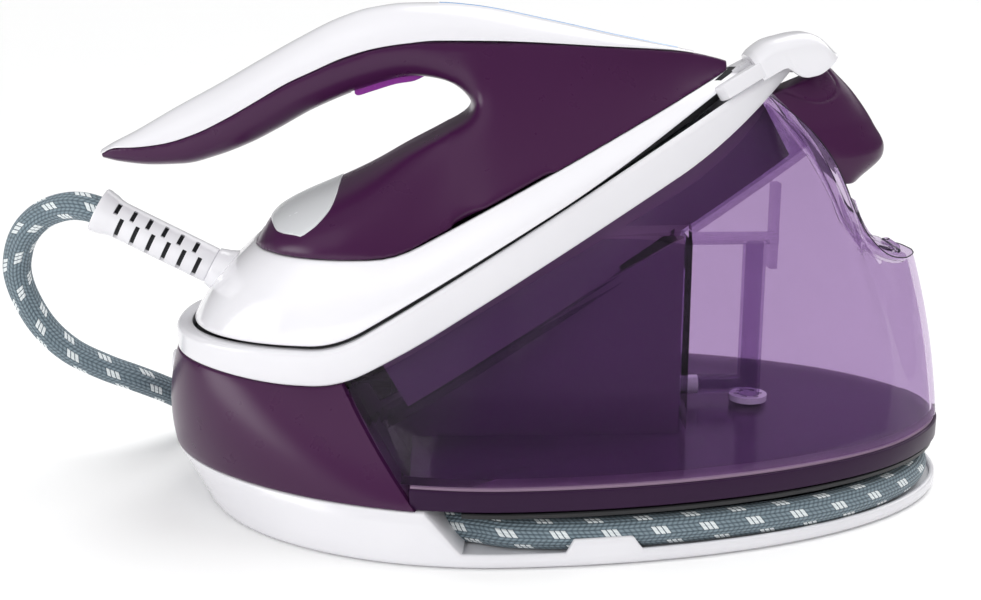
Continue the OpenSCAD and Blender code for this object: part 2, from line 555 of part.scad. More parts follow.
// Cross-section of the handle's trough; depth is how far the hollow goes below its rim
function trough(x) = let (z = lookup(x, line) - 0.2, h = z - lookup(x, under), w = lookup(x, grip),
        depth = x < -199.1 ? 0.4 : max(0.4, h - 2.5), wi = max(0.4, w - 2.5))
    [for (p = [[-1, 0], [-0.98, 0.35], [-0.8, 0.75], [-0.4, 0.97],
               [0.4, 0.97], [0.8, 0.75], [0.98, 0.35], [1, 0]])
        [x, p[0] * w, z - p[1] * h], for (p = [[1, 0], [0.9, 0.6], [0.4, 1], [-0.4, 1], [-0.9, 0.6], [-1, 0]])
        [x, p[0] * wi, z - p[1] * depth]];
trigger_pivot = [-60, 0, 196];
module iron_shell() color(purple) difference() {
    union() {
        skin([for (x = body_xs) concat(arch(x, 0),
            reversed(arch(x, x < -130 || x > 60 ? 0.8 : wall)))]);
        skin([for (x = [-206, -199.2, -199, -190, -176, -162, -148, -135, -121, -110, -96, -82, -69, -55,
                        -46, -40, -34])
            trough(x)]);
    }
    translate([-94, -7.5, 170]) cube([36, 15, 23]);
    translate(trigger_pivot) rotate([90, 0, 0]) translate([0, 0, -16]) cylinder(d = pin_d, h = 32);
}
cover_xs = [-206, -200, -190, -176, -160, -145, -130, -116, -100, -85, -69, -55, -40, -20, 0, 24, 40, 52, 60];
module handle_cover() color(white) skin([for (x = cover_xs)
    let (z0 = lookup(x, line) + 0.1, h = lookup(x, crown) - z0, w = lookup(x, grip),
         n = x < -55 || x > 55 ? 0 : min(1, h / 4))
    [for (p = [[-1, 0], [-0.93, 0.42], [-0.72, 0.75], [-0.4, 0.94]]) [x, p[0] * w, z0 + p[1] * h],
     [x, -min(2.5, w / 4), z0 + h], [x, -min(2.4, w / 5), z0 + h - n], [x, min(2.4, w / 5), z0 + h - n],
     [x, min(2.5, w / 4), z0 + h],
     for (p = [[0.4, 0.94], [0.72, 0.75], [0.93, 0.42], [1, 0]]) [x, p[0] * w, z0 + p[1] * h]]]);
module handle_strip() color("#9cc4ea") skin([for (x = [-54, -40, -20, 0, 24, 40, 52])
    let (z = lookup(x, crown), h = z - lookup(x, line) - 0.1, n = min(1, h / 4) - 0.05,
         w = min(2.3, lookup(x, grip) / 6))
    [[x, -w, z - n], [x, -w, z + 0.2], [x, w, z + 0.2], [x, w, z - n]]]);
module heel_badge() color(white) profile([[-139.5, 119], [-134.6, 128], [-128, 133.8], [-101, 146.4],
    [-101.4, 144.4], [-127.6, 132.3], [-132.8, 127.2], [-138.2, 119]], 30);
module steam_trigger() color("#a02ca8") difference() {
    translate(trigger_pivot) union() {
        profile([[-32, -8.2], [-26, -12.6], [-4, -8.6], [0, -3], [0, 3], [-4, 3], [-30, -4.5]], 14);
        rod([0, -7, 0], 6, 14, y_axis);
    }
    translate(trigger_pivot) rotate([90, 0, 0]) translate([0, 0, -20]) cylinder(d = pin_d + 2 * pin_fit, h = 40);
}
module trigger_pin() color(steel) translate(trigger_pivot) rotate([90, 0, 0]) translate([0, 0, -16])
    cylinder(d = pin_d, h = 32);
module micro_switch() color(black) translate([-84, -5, 196.4]) difference() {
    rotate([0, -12, 0]) cube([14, 10, 5]);
}
module inlet_tube() color(tubing)
    tube([[-137.5, 0, 92.1], [-132, 0, 92], [-122, 0, 97], [-110, 0, 100.5], [-99, 0, 100.5],
        [-92.4, 0, 100.5]], 6);
module iron_screws() color(steel) on_slope() for (p = [[60, 26], [60, -26], [112, 0]])
    translate([p[0], p[1], 15]) {
        cylinder(d = 4, h = 8);
        translate([0, 0, 8]) cylinder(d = 7, h = 2.4);
    }
relief_len = 53.5;
flange_h = 3.4;
mouth_d = 17.5;
slot_pitch = 7.7;
module hose_relief() color(white) translate(relief_at) rotate(relief_angle) difference() {
    union() {
        cylinder(d = relief_d, h = relief_len - 6);
        translate([0, 0, relief_len - 6]) cylinder(d1 = relief_d, d2 = 21, h = 6);
        translate([0, 0, relief_len]) cylinder(d = 21, h = flange_h);
    }
    for (i = [0:5]) for (y = [-12, 5]) translate([-9, y, 5 + slot_pitch * i]) cube([14, 7, 2]);
    translate([0, 0, relief_len]) cylinder(d = mouth_d, h = flange_h + 1);
    translate([0, 0, -1]) cylinder(d = 6, h = 8);
}

// ---------------------------------------------------------------- hose
hose_start = relief_at + (relief_len + gap) * relief_axis;
// From the strain relief, out and down to the heel of the base
loop_route = [hose_start, [-215.5, 1.5, 131.5], [-224, 4.5, 131.5], [-233, 8, 129], [-241, 11, 124.5],
    [-248, 14, 117.5], [-253, 17.5, 108], [-255.5, 21, 96.5], [-253.5, 24.5, 83], [-246.5, 26.5, 68],
    [-235, 28, 55.5], [-220, 30, 46.5], [-206, 33.5, 39.5], [-194, 43, 30.5]];
// Round the far side, the tank front and the near side, into the socket
wrap_route = [[-194, 43, 30.5], [-185.5, 54, 21.5], [-177.5, 65.5, 13], [-165, 77.5, 8.2], [-147, 87, 7.2],
    [-124, 92.5, 9.5], [-100, 94.5, 11.2], [-66, 96.5, 11.2], [-30, 98, 11.2], [6, 97, 11.2], [42, 92.5, 11.2],
    [76, 85, 11.2], [106, 75, 11.2], [132, 61, 11.2], [153, 43, 11.2], [166, 23, 11.2], [171, 0, 11.2],
    [166, -23, 11.2], [153, -43, 11.2], [132, -61, 11.2], [106, -75, 11.2], [76, -85, 11.2], [42, -92.5, 11.2],
    [6, -97, 11.2], [-24, -95.5, 11.2], [-38, -90.3, 11.1], [-48.2, -86.4, 11], [-55.9, -84.5, 11]];
join_dir = unit([8.5, 11, -9]);
module hose_loop() color(grey) tube(loop_route, hose_d, 10, 2, relief_axis, join_dir);
module hose_wrap() color(grey) tube(wrap_route, hose_d, 10, 2, join_dir);

base_tray();
rubber_feet();
hose_channel();
lower_housing();
inner_housing();
rest_band();
rest_plate();
rest_pads();
boiler();
boiler_heater();
boiler_thermostat();
steam_valve();
pump();
pump_mounts();
suction_tube();
pressure_tube();
steam_tube();
circuit_board();
tank_coupling();
power_gland();
hose_socket();
decalc_knob();
control_panel();
power_button();
eco_button();
carry_lock();
lock_tongue();
base_screws();
water_tank();
tank_foot();
tank_cap();
filler_lid();
lid_pin();
tank_valve();
valve_seal();
intake_pipe();
intake_filter();
soleplate();
steam_chamber();
iron_thermostat();
iron_skirt();
iron_shell();
handle_cover();
handle_strip();
heel_badge();
steam_trigger();
trigger_pin();
micro_switch();
inlet_tube();
iron_screws();
hose_relief();
hose_loop();
hose_wrap();
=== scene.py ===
# Steam generator iron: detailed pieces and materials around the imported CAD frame.
# Shapes are worked out in millimetres, in the CAD frame, and scaled to metres when a mesh is made.
import math

import bmesh
import bpy
from mathutils import Matrix, Vector


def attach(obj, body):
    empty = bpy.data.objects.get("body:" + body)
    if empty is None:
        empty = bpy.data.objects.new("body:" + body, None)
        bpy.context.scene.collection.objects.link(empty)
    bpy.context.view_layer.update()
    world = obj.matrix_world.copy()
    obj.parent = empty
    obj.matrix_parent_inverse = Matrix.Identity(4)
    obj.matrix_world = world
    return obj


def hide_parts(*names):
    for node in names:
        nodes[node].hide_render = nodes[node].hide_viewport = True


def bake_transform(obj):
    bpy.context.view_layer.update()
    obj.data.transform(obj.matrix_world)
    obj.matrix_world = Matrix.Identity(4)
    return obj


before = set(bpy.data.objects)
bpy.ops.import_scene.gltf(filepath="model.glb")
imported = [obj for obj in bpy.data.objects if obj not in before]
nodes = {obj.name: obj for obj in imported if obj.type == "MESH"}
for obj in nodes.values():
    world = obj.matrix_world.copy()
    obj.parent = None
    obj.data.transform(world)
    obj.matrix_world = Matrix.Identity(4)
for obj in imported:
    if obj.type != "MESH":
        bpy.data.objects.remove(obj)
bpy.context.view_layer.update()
MM = 0.001


# ---------------------------------------------------------------- camera
AZIMUTH = -2.177
ELEVATION = 14.48
DISTANCE = 0.650
TARGET = Vector((-0.0315, 0.0, 0.0863))
LENS = 50.95


def make_camera():
    """Puts the camera at the viewing angle of the product shot."""
    a, e = math.radians(AZIMUTH), math.radians(ELEVATION)
    back = Vector((math.sin(a) * math.cos(e), -math.cos(a) * math.cos(e), math.sin(e)))
    data = bpy.data.cameras.new("camera")
    data.lens = LENS
    data.sensor_width = 36
    data.clip_end = 200
    camera = bpy.data.objects.new("camera", data)
    camera.location = TARGET + back * DISTANCE
    camera.rotation_euler = back.to_track_quat("Z", "Y").to_euler()
    bpy.context.collection.objects.link(camera)
    bpy.context.scene.camera = camera


make_camera()


# ---------------------------------------------------------------- curves
def mix(a, b, t):
    """a to b as t goes from 0 to 1, for numbers or points."""
    if isinstance(a, (int, float)):
        return a + (b - a) * t
    return tuple(p + (q - p) * t for p, q in zip(a, b))


def ramp(u, r):
    """0 below, u above, with a rounded corner of half width r."""
    if u < -r:
        return 0.0
    return u if u > r else (u + r) ** 2 / (4 * r)


def smooth(u):
    v = max(0.0, min(1.0, u))
    return v * v * (3 - 2 * v)


def sign(v):
    return (v > 0) - (v < 0)


def steps(a, b, n):
    """n + 1 evenly spaced values from a to b."""
    return [a + (b - a) * i / n for i in range(n + 1)]


def table(points):
    """A smooth function through (x, value) points that never overshoots them."""
    xs = [p[0] for p in points]
    ys = [p[1] for p in points]
    chords = [(ys[i + 1] - ys[i]) / (xs[i + 1] - xs[i]) for i in range(len(xs) - 1)]
    slopes = [chords[0]]
    for before, after in zip(chords, chords[1:]):
        same = before * after > 0
        slopes.append(2 * before * after / (before + after) if same else 0.0)
    slopes.append(chords[-1])

    def value(x):
        x = max(xs[0], min(xs[-1], x))
        i = max(k for k in range(len(xs) - 1) if xs[k] <= x)
        h = xs[i + 1] - xs[i]
        t = (x - xs[i]) / h
        return ((2 * t**3 - 3 * t * t + 1) * ys[i] + (t**3 - 2 * t * t + t) * h * slopes[i]
                + (3 * t * t - 2 * t**3) * ys[i + 1] + (t**3 - t * t) * h * slopes[i + 1])

    return value


def spline(route, n):
    """Points along a smooth curve through the route, n to each stretch."""
    pts = [Vector(p) for p in route]
    last = len(pts) - 1
    slope = [(pts[min(i + 1, last)] - pts[max(i - 1, 0)]) / 2 for i in range(last + 1)]
    out = []
    for i in range(last):
        for j in range(n):
            t = j / n
            out.append((2 * t**3 - 3 * t * t + 1) * pts[i] + (t**3 - 2 * t * t + t) * slope[i]
                       + (3 * t * t - 2 * t**3) * pts[i + 1] + (t**3 - t * t) * slope[i + 1])
    out.append(pts[last])
    return out


# ---------------------------------------------------------------- shared shapes, as in the CAD
X_MID, X_BEND = -30, -99.3
REST_ANGLE = math.radians(29.5)
SLOPE = math.tan(REST_ANGLE)
HEEL_Z = 81.5
WAIST_Z = 23
FLOOR_TOP = 4.5
GAP = 0.3
WALL = 3
BAND = 7
CORE_X, CORE_HALF = 52, 38
ALONG_X, ACROSS_Y = (1, 0, 0), (0, 1, 0)
ROOF_LOW = -38
TANK_GAP = 0.5
TANK_WALL = 2.6


def oval(a, half, rear, front, nr, nf):
    """Point of an oval of two half superellipses; a is in degrees, 0 at the front."""
    c, s = math.cos(math.radians(a)), math.sin(math.radians(a))
    n, r = (nr, rear) if c < 0 else (nf, front)
    return (X_MID + r * sign(c) * abs(c) ** (2 / n), half * sign(s) * abs(s) ** (2 / n))


def waist(a, d=0):
    return oval(a, 106 - d, 150 - d, 212 - d, 1.75, 1.95)


def ground(a, d=0):
    return oval(a, 108.5 - d, 136 - d, 212 - d, 2, 2)


def leaf_y(x, o):
    """Half width at x of a leaf outline: heel x, widest x, nose x, half width, nose powers."""
    if x < o[1]:
        return o[3] * max(0, 1 - ((o[1] - x) / (o[1] - o[0])) ** 2.3) ** (1 / 2.3)
    return o[3] * max(0, 1 - ((x - o[1]) / (o[2] - o[1])) ** o[4]) ** o[5]


def leaf(a, o):
    c = math.cos(math.radians(a))
    x = o[1] + (o[1] - o[0] if c < 0 else o[2] - o[1]) * c
    return (x, sign(round(math.sin(math.radians(a)), 9)) * leaf_y(x, o))


def inset(o, d):
    return (o[0] + d, o[1], o[2] - 1.6 * d, o[3] - d, o[4], o[5])


def shifted(o, dx):
    return (o[0], o[1] - dx, o[2] - dx, o[3], o[4], o[5])


BAND_O = (-176, -85, 108, 68.5, 1.35, 0.9)
SKIRT_O = (-168, -85, 83, 66.5, 1.6, 0.8)
SHELL_O = (-139, -85, 77, 56, 1.6, 0.8)
ROOF_O = shifted(inset(BAND_O, BAND + 1), 8)


def rest_z(x):
    return HEEL_Z + SLOPE * ramp(x - X_BEND, 12)


def band_low(x):
    drop = (15 + 3 * smooth((x + 115) / 60) - 4 * smooth((-115 - x) / 60)
            - 9 * (max(0, x - 50) / 44) ** 2)
    return rest_z(x) - max(3, drop)


def roof_z(x, n):
    """Height of the plane parallel to the iron's rest, n above it."""
    return HEEL_Z + SLOPE * (x - X_BEND) + n / math.cos(REST_ANGLE)


K_SEAM, K_NOSE, K_TANK = 0.407, 0.73, 0.41
SEAM_X, NOSE_X = -97, 94
CAP_EDGE = [(94, 9, 181.5), (102, 16, 175), (111, 21, 166.5), (120, 22.5, 155), (127, 20, 143),
            (133, 17, 131), (139, 20, 120), (147, 23, 112), (156, 20, 109.5), (163, 11, 109.5),
            (166, 0, 109)]
EDGE_STEPS = 12
EDGE_LINE = spline(CAP_EDGE, EDGE_STEPS)


def edge_point(t):
    """Point of the scoop's edge, t = 0 under the lock to 1 at the middle of the front."""
    u = t * (len(EDGE_LINE) - 1)
    i = min(int(u), len(EDGE_LINE) - 2)
    return tuple(EDGE_LINE[i].lerp(EDGE_LINE[i + 1], u - i))


def rim(k):
    """Rim of the housings, k = 0 at the heel to 1 at the tank's front."""
    if k < K_SEAM:
        x, y = leaf(180 - 82.4 * k / K_SEAM, BAND_O)
        return (x, abs(y), band_low(x) - GAP)
    if k < K_NOSE:
        x = mix(SEAM_X, NOSE_X, (k - K_SEAM) / (K_NOSE - K_SEAM))
        return (x, leaf_y(x, BAND_O), band_low(x) - GAP)
    return edge_point((k - K_NOSE) / (1 - K_NOSE))


def wall_point(k, g, z0, d=0):
    """Point of the housings' wall, g = 0 at height z0 to 1 at the rim, set in by d."""
    a = 180 * (1 - k)
    b, r = waist(a), rim(k)
    f = mix((z0 - WAIST_Z) / (r[2] - WAIST_Z), 1, g)
    bulge = 12 * f * (1 - f) - d
    c, s = math.cos(math.radians(a)), math.sin(math.radians(a))
    return (mix(b[0], r[0], f) + bulge * c, max(0, mix(b[1], r[1], f) + bulge * s),
            mix(WAIST_Z, r[2], f))


def mirrored(p):
    return (p[0], -p[1], p[2])


def on_slope(s, y, n):
    """From along, across and square to the iron's rest, to the frame."""
    c, k = math.cos(REST_ANGLE), math.sin(REST_ANGLE)
    return (X_BEND + s * c - n * k, y, HEEL_Z + s * k + n * c)


def along_slope(x):
    return (x - X_BEND) / math.cos(REST_ANGLE)


# ---------------------------------------------------------------- mesh making
def skin(sections, loop=False, ring=True):
    """Vertices and faces of a surface through a row of equally long sections."""
    n, m = len(sections), len(sections[0])
    faces = []
    for i in range(n if loop else n - 1):
        a, b = i * m, (i + 1) % n * m
        for j in range(m if ring else m - 1):
            c = (j + 1) % m
            faces.append((a + j, a + c, b + c, b + j))
    if ring and not loop:
        faces.append(tuple(range(m)))
        faces.append(tuple((n - 1) * m + j for j in range(m)))
    return [p for s in sections for p in s], faces


def prism(outline, low, high):
    """Upright solid on an (x, y) outline."""
    return skin([[(x, y, low) for x, y in outline], [(x, y, high) for x, y in outline]])


def slab(profile, half):
    """Solid on an (x, z) profile, as wide as half on both sides of the middle plane."""
    return skin([[(x, -half, z) for x, z in profile], [(x, half, z) for x, z in profile]])


def slope_slab(outline, low, high):
    """Solid on a leaf outline of (s, y) points, square to the iron's rest."""
    return skin([[on_slope(s, y, n) for s, y in outline] for n in (low, high)])


def leaf_outline(o, x0, count=60):
    xs = [mix(x0, o[2], 1 - (1 - i / count) ** 1.5) for i in range(count + 1)]
    near = [(along_slope(x), -leaf_y(x, o)) for x in xs]
    return near + [(s, -y) for s, y in reversed(near[:-1])]


def turned(profile, count=48):
    """Solid of revolution about Z from (radius, height) points that start and end on the axis."""
    return skin([[(r * math.cos(a), r * math.sin(a), h) for r, h in profile]
                 for a in (2 * math.pi * i / count for i in range(count))], loop=True, ring=False)


def rod(r, low, high, count=48):
    """Upright cylinder of radius r from low to high."""
    return turned([(0, low), (r, low), (r, high), (0, high)], count)


def placed(shape, origin, axis, turn=0):
    """A shape made along Z, moved so that its Z axis looks along axis from origin."""
    frame3 = (Matrix.Translation(Vector(origin)) @ Vector(axis).to_track_quat("Z", "Y").to_matrix().to_4x4()
              @ Matrix.Rotation(math.radians(turn), 4, "Z"))
    return [tuple(frame3 @ Vector(v)) for v in shape[0]], shape[1]


def sharp_edges(bm, angle):
    limit = math.radians(angle)
    return [e for e in bm.edges if len(e.link_faces) == 2 and e.calc_face_angle(0) > limit]


def to_mesh(name, shapes, bevel=0, segments=3, angle=35):
    """One mesh in metres from shapes in millimetres; bevel rounds the edges sharper than angle."""
    bm = bmesh.new()
    for verts, faces in shapes:
        row = [bm.verts.new(Vector(v) * MM) for v in verts]
        for face in faces:
            bm.faces.new([row[i] for i in face])
    bmesh.ops.remove_doubles(bm, verts=bm.verts, dist=2e-6)
    bmesh.ops.dissolve_degenerate(bm, edges=bm.edges, dist=1e-7)
    bmesh.ops.recalc_face_normals(bm, faces=bm.faces)
    if bevel:
        bmesh.ops.bevel(bm, geom=sharp_edges(bm, angle), offset=bevel * MM, segments=segments,
                        profile=0.5, affect="EDGES", clamp_overlap=True)
    mesh = bpy.data.meshes.new(name)
    bm.to_mesh(mesh)
    bm.free()
    return mesh


def shade(mesh, angle=35):
    """Smooth faces, with edges sharper than angle left crisp."""
    bm = bmesh.new()
    bm.from_mesh(mesh)
    for face in bm.faces:
        face.smooth = True
    for edge in bm.edges:
        edge.smooth = True
    for edge in sharp_edges(bm, angle):
        edge.smooth = False
    bm.to_mesh(mesh)
    bm.free()


def solid(name, shapes, **keys):
    """An object that is not yet a piece, for boolean work."""
    shapes = shapes if isinstance(shapes, list) else [shapes]
    obj = bpy.data.objects.new(name, to_mesh(name, shapes, **keys))
    bpy.context.collection.objects.link(obj)
    return obj


def combine(obj, operation, *others):
    """Boolean work on obj; the others are used up."""
    for other in others:
        modifier = obj.modifiers.new("boolean", "BOOLEAN")
        modifier.operation = operation
        modifier.solver = "EXACT"
        modifier.object = other
        bpy.context.view_layer.update()
        result = bpy.data.meshes.new_from_object(obj.evaluated_get(bpy.context.evaluated_depsgraph_get()))
        obj.modifiers.clear()
        obj.data = result
        bpy.data.objects.remove(other)
    return obj


def declare(obj, finish, body, *replaced):
    """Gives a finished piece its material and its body."""
    obj.data.materials.clear()
    obj.data.materials.append(MAT[finish])
    if body:
        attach(obj, body)
    if replaced:
        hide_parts(*replaced)
    return obj


def piece(name, shapes, finish, body, *replaced, angle=35, **keys):
    obj = solid(name, shapes, angle=angle, **keys)
    shade(obj.data, angle)
    return declare(obj, finish, body, *replaced)


# ---------------------------------------------------------------- materials
def srgb(code):
    """Linear colour from a hexadecimal one."""
    parts = [int(code[i:i + 2], 16) / 255 for i in (1, 3, 5)]
    return tuple(p / 12.92 if p <= 0.04045 else ((p + 0.055) / 1.055) ** 2.4 for p in parts) + (1,)


class Nodes:
    """Short calls for building a material's node tree."""

    def __init__(self, name):
        self.material = bpy.data.materials.new(name)
        self.material.use_nodes = True
        self.tree = self.material.node_tree
        self.shader = self.tree.nodes["Principled BSDF"]

    def node(self, kind, **settings):
        made = self.tree.nodes.new(kind)
        for key, value in settings.items():
            setattr(made, key, value)
        return made

    def put(self, value, socket):
        if isinstance(value, bpy.types.NodeSocket):
            self.tree.links.new(value, socket)
        else:
            socket.default_value = value

    def math(self, operation, a, b=0.0, c=0.0):
        made = self.node("ShaderNodeMath", operation=operation)
        for value, socket in zip((a, b, c), made.inputs):
            self.put(value, socket)
        return made.outputs[0]

    def noise(self, scale, detail=2.0, stretch=(1, 1, 1)):
        place = self.node("ShaderNodeTexCoord").outputs["Object"]
        mapping = self.node("ShaderNodeMapping")
        mapping.inputs["Scale"].default_value = stretch
        self.put(place, mapping.inputs["Vector"])
        made = self.node("ShaderNodeTexNoise")
        made.inputs["Scale"].default_value = scale
        made.inputs["Detail"].default_value = detail
        self.put(mapping.outputs[0], made.inputs["Vector"])
        return made.outputs["Fac"]

    def between(self, fac, low, high):
        made = self.node("ShaderNodeMapRange")
        self.put(fac, made.inputs["Value"])
        made.inputs["To Min"].default_value = low
        made.inputs["To Max"].default_value = high
        return made.outputs[0]

    def blend(self, fac, a, b):
        made = self.node("ShaderNodeMix", data_type="RGBA")
        self.put(fac, made.inputs["Factor"])
        self.put(a, made.inputs["A"])
        self.put(b, made.inputs["B"])
        return made.outputs["Result"]

    def bump(self, height, strength, distance):
        made = self.node("ShaderNodeBump")
        made.inputs["Strength"].default_value = strength
        made.inputs["Distance"].default_value = distance
        self.put(height, made.inputs["Height"])
        self.put(made.outputs[0], self.shader.inputs["Normal"])

    def set(self, **values):
        for key, value in values.items():
            self.put(value, self.shader.inputs[key.replace("_", " ")])


def moulded(name, dark, light, rough=(0.22, 0.3), grain=0.04, grain_scale=2600, patch=18, **values):
    """Moulded plastic or metal: faint shade patches, uneven polish and a fine grain."""
    n = Nodes(name)
    n.set(Base_Color=n.blend(n.noise(patch, 3), srgb(dark), srgb(light)),
          Roughness=n.between(n.noise(patch * 5, 4), *rough), **values)
    n.bump(n.noise(grain_scale, 2), grain, 0.0004)
    return n.material


def brushed(name, dark, light, stretch, rough=(0.25, 0.4)):
    """Metal with fine brush lines along one axis."""
    n = Nodes(name)
    lines = n.noise(900, 4, stretch)
    n.set(Base_Color=n.blend(lines, srgb(dark), srgb(light)), Metallic=1.0,
          Roughness=n.between(lines, *rough))
    n.bump(lines, 0.08, 0.0003)
    return n.material


def clear_plastic(name, tint, rough):
    """See-through tinted plastic with a faint waviness of the wall."""
    n = Nodes(name)
    n.set(Base_Color=n.blend(n.noise(14, 2), srgb(tint[0]), srgb(tint[1])),
          Roughness=n.between(n.noise(60, 3), *rough), Transmission_Weight=1.0, IOR=1.02,
          Coat_Weight=0.3, Coat_Roughness=0.06)
    n.bump(n.noise(30, 2), 0.02, 0.0006)
    return n.material


LANES = 24               # rows of stitches round the hose's sleeve
STITCH = 2.3             # length of a stitch
REPEAT = 9               # stitches from one pale fleck to the next in a row
FLECK = 3                # stitches in a fleck, and between the flecks of one row and the next


def braid():
    """Knitted sleeve: rows of slanted stitches in grey-blue, with pale flecks three stitches long. The
    grey-blue is painted darker where the stitches dip, as painted shade between the stitches.
    """
    n = Nodes("hose_braid")
    uv = n.node("ShaderNodeSeparateXYZ")
    n.put(n.node("ShaderNodeUVMap", uv_map="sleeve").outputs[0], uv.inputs[0])
    lane = n.math("MULTIPLY", uv.outputs[0], LANES)
    across = n.math("FRACT", lane)
    pair = n.math("DIVIDE", lane, 2.0)
    right = n.math("FLOORED_MODULO", n.math("FLOOR", pair), 2.0)
    lean = n.math("MULTIPLY_ADD", right, 2.0, -1.0)
    slant = n.math("MULTIPLY", n.math("SUBTRACT", n.math("FRACT", pair), 0.5), lean)
    stitch = n.math("ADD", n.math("DIVIDE", uv.outputs[1], STITCH), slant)
    row = n.math("SINE", n.math("MULTIPLY", across, math.pi))
    loop = n.math("SINE", n.math("MULTIPLY", n.math("FRACT", stitch), math.pi))
    height = n.math("MULTIPLY", n.math("POWER", row, 0.6), n.math("MULTIPLY_ADD", loop, 0.65, 0.35))
    four = n.math("DIVIDE", lane, 4.0)
    in_row = n.math("LESS_THAN", n.math("FRACT", four), 0.5)
    shift = n.math("MULTIPLY", n.math("FLOOR", four), FLECK)
    place = n.math("DIVIDE", n.math("SUBTRACT", n.math("FLOOR", stitch), shift), REPEAT)
    in_run = n.math("LESS_THAN", n.math("FRACT", n.math("ADD", place, 0.01)), (FLECK - 0.3) / REPEAT)
    fleck = n.math("MULTIPLY", n.math("MULTIPLY", in_run, in_row), n.math("GREATER_THAN", loop, 0.35))
    # painted shade: the sleeve's colour goes darker where the stitches are low, in the hollows between them
    sleeve = n.blend(height, srgb("#2f3d46"), srgb("#7b8e98"))
    # random tone patches over the same painted stitch shade
    mottle_and_stitch_shade = n.blend(n.noise(500, 3), sleeve, n.blend(height, srgb("#3c4a55"), srgb("#8b9ba4")))
    n.set(Base_Color=n.blend(fleck, mottle_and_stitch_shade, srgb("#e3e9eb")), Roughness=n.between(height, 0.75, 0.5),
          Sheen_Weight=0.2, Sheen_Roughness=0.4)
    n.bump(height, 0.7, 0.0006)
    return n.material


MAT = {
    "white_plastic": moulded("white_plastic", "#dedde2", "#e7e6ea", (0.2, 0.28), Coat_Weight=0.3,
                             Coat_Roughness=0.08),
    "skirt_plastic": moulded("skirt_plastic", "#e6e5ea", "#efeef2", (0.14, 0.2), grain=0.015,
                             Coat_Weight=0.6, Coat_Roughness=0.04),
    "purple_plastic": moulded("purple_plastic", "#3c173b", "#401a40", (0.26, 0.3), grain=0.01,
                              Specular_IOR_Level=0.28),
    "badge_plastic": moulded("badge_plastic", "#c9cbce", "#d2d4d6", (0.22, 0.3)),
    "foot_plastic": moulded("foot_plastic", "#2a1430", "#301836", (0.3, 0.36), grain=0.01,
                            Specular_IOR_Level=0.15),
    "dark_plastic": moulded("dark_plastic", "#8d768c", "#957e94", (0.4, 0.5), Specular_IOR_Level=0.25),
    "black_plastic": moulded("black_plastic", "#121214", "#1b1b1f", (0.35, 0.5)),
    "black_rubber": moulded("black_rubber", "#17171a", "#222226", (0.7, 0.85), grain=0.2, grain_scale=1800),
    "magenta_plastic": moulded("magenta_plastic", "#7a1785", "#861c92", (0.24, 0.3), Specular_IOR_Level=0.3),
    "blue_accent": moulded("blue_accent", "#7db2ec", "#8fc0f2", (0.2, 0.28), Coat_Weight=0.5),
    "cast_aluminium": moulded("cast_aluminium", "#85888f", "#a0a3a8", (0.45, 0.6), grain=0.4,
                              grain_scale=900, Metallic=1.0),
    "brass": moulded("brass", "#a78646", "#c2a35c", (0.25, 0.4), Metallic=1.0),
    "pump_body": moulded("pump_body", "#32373d", "#40464d", (0.4, 0.55)),
    "tubing": moulded("tubing", "#c9c5bc", "#dcd8d0", (0.3, 0.4), Subsurface_Weight=0.15),
    "board": moulded("board", "#245a38", "#2f6f48", (0.35, 0.5)),
    "plate_steel": brushed("plate_steel", "#3c3e43", "#55585e", (1, 0.02, 0.02), (0.35, 0.5)),
    "soleplate_steel": brushed("soleplate_steel", "#7d8087", "#a7aab0", (0.02, 1, 0.02)),
    "clear_tank": clear_plastic("clear_tank", ("#cbbad4", "#d1c0da"), (0.02, 0.06)),
    "hose_braid": braid(),
}


# ---------------------------------------------------------------- hose
HOSE_D = 13
RELIEF_AT = Vector((-160, 0, 104))
RELIEF_AXIS = Vector((-49.6, 0, 26.3)).normalized()
RELIEF_D = 17
RELIEF_LEN = 53.5
FLANGE_H = 3.4
MOUTH_D = 17.5
HOSE_START = tuple(RELIEF_AT + (RELIEF_LEN + GAP) * RELIEF_AXIS)
LOOP_ROUTE = [HOSE_START, (-215.5, 1.5, 131.5), (-224, 4.5, 131.5), (-233, 8, 129), (-241, 11, 124.5),
              (-248, 14, 117.5), (-253, 17.5, 108), (-255.5, 21, 96.5), (-253.5, 24.5, 83),
              (-246.5, 26.5, 68), (-235, 28, 55.5), (-220, 30, 46.5), (-206, 33.5, 39.5), (-194, 43, 30.5)]
WRAP_ROUTE = [(-194, 43, 30.5), (-185.5, 54, 21.5), (-177.5, 65.5, 13), (-165, 77.5, 8.2), (-147, 87, 7.2),
              (-124, 92.5, 9.5), (-100, 94.5, 11.2), (-66, 96.5, 11.2), (-30, 98, 11.2), (6, 97, 11.2),
              (42, 92.5, 11.2), (76, 85, 11.2), (106, 75, 11.2), (132, 61, 11.2), (153, 43, 11.2),
              (166, 23, 11.2), (171, 0, 11.2), (166, -23, 11.2), (153, -43, 11.2), (132, -61, 11.2),
              (106, -75, 11.2), (76, -85, 11.2), (42, -92.5, 11.2), (6, -97, 11.2), (-24, -95.5, 11.2),
              (-38, -90.3, 11.1), (-48.2, -86.4, 11), (-55.9, -84.5, 11)]
RING_STEP = 1.2          # distance between the hose's rings
RING_POINTS = 72
BRAID_DEPTH = 0.22


def evenly(points, step):
    """Points at equal distances along a line, and how long it is."""
    lengths = [0.0]
    for a, b in zip(points, points[1:]):
        lengths.append(lengths[-1] + (b - a).length)
    total = lengths[-1]
    count = int(total / step)
    out, i = [], 0
    for c in range(count + 1):
        want = total * c / count
        while i < len(points) - 2 and lengths[i + 1] < want:
            i += 1
        out.append(points[i].lerp(points[i + 1], (want - lengths[i]) / (lengths[i + 1] - lengths[i])))
    return out, total


def braid_height(u):
    """Height of the sleeve's rows of stitches at u turns round."""
    return math.sin(math.pi * (u * LANES % 1)) ** 0.6


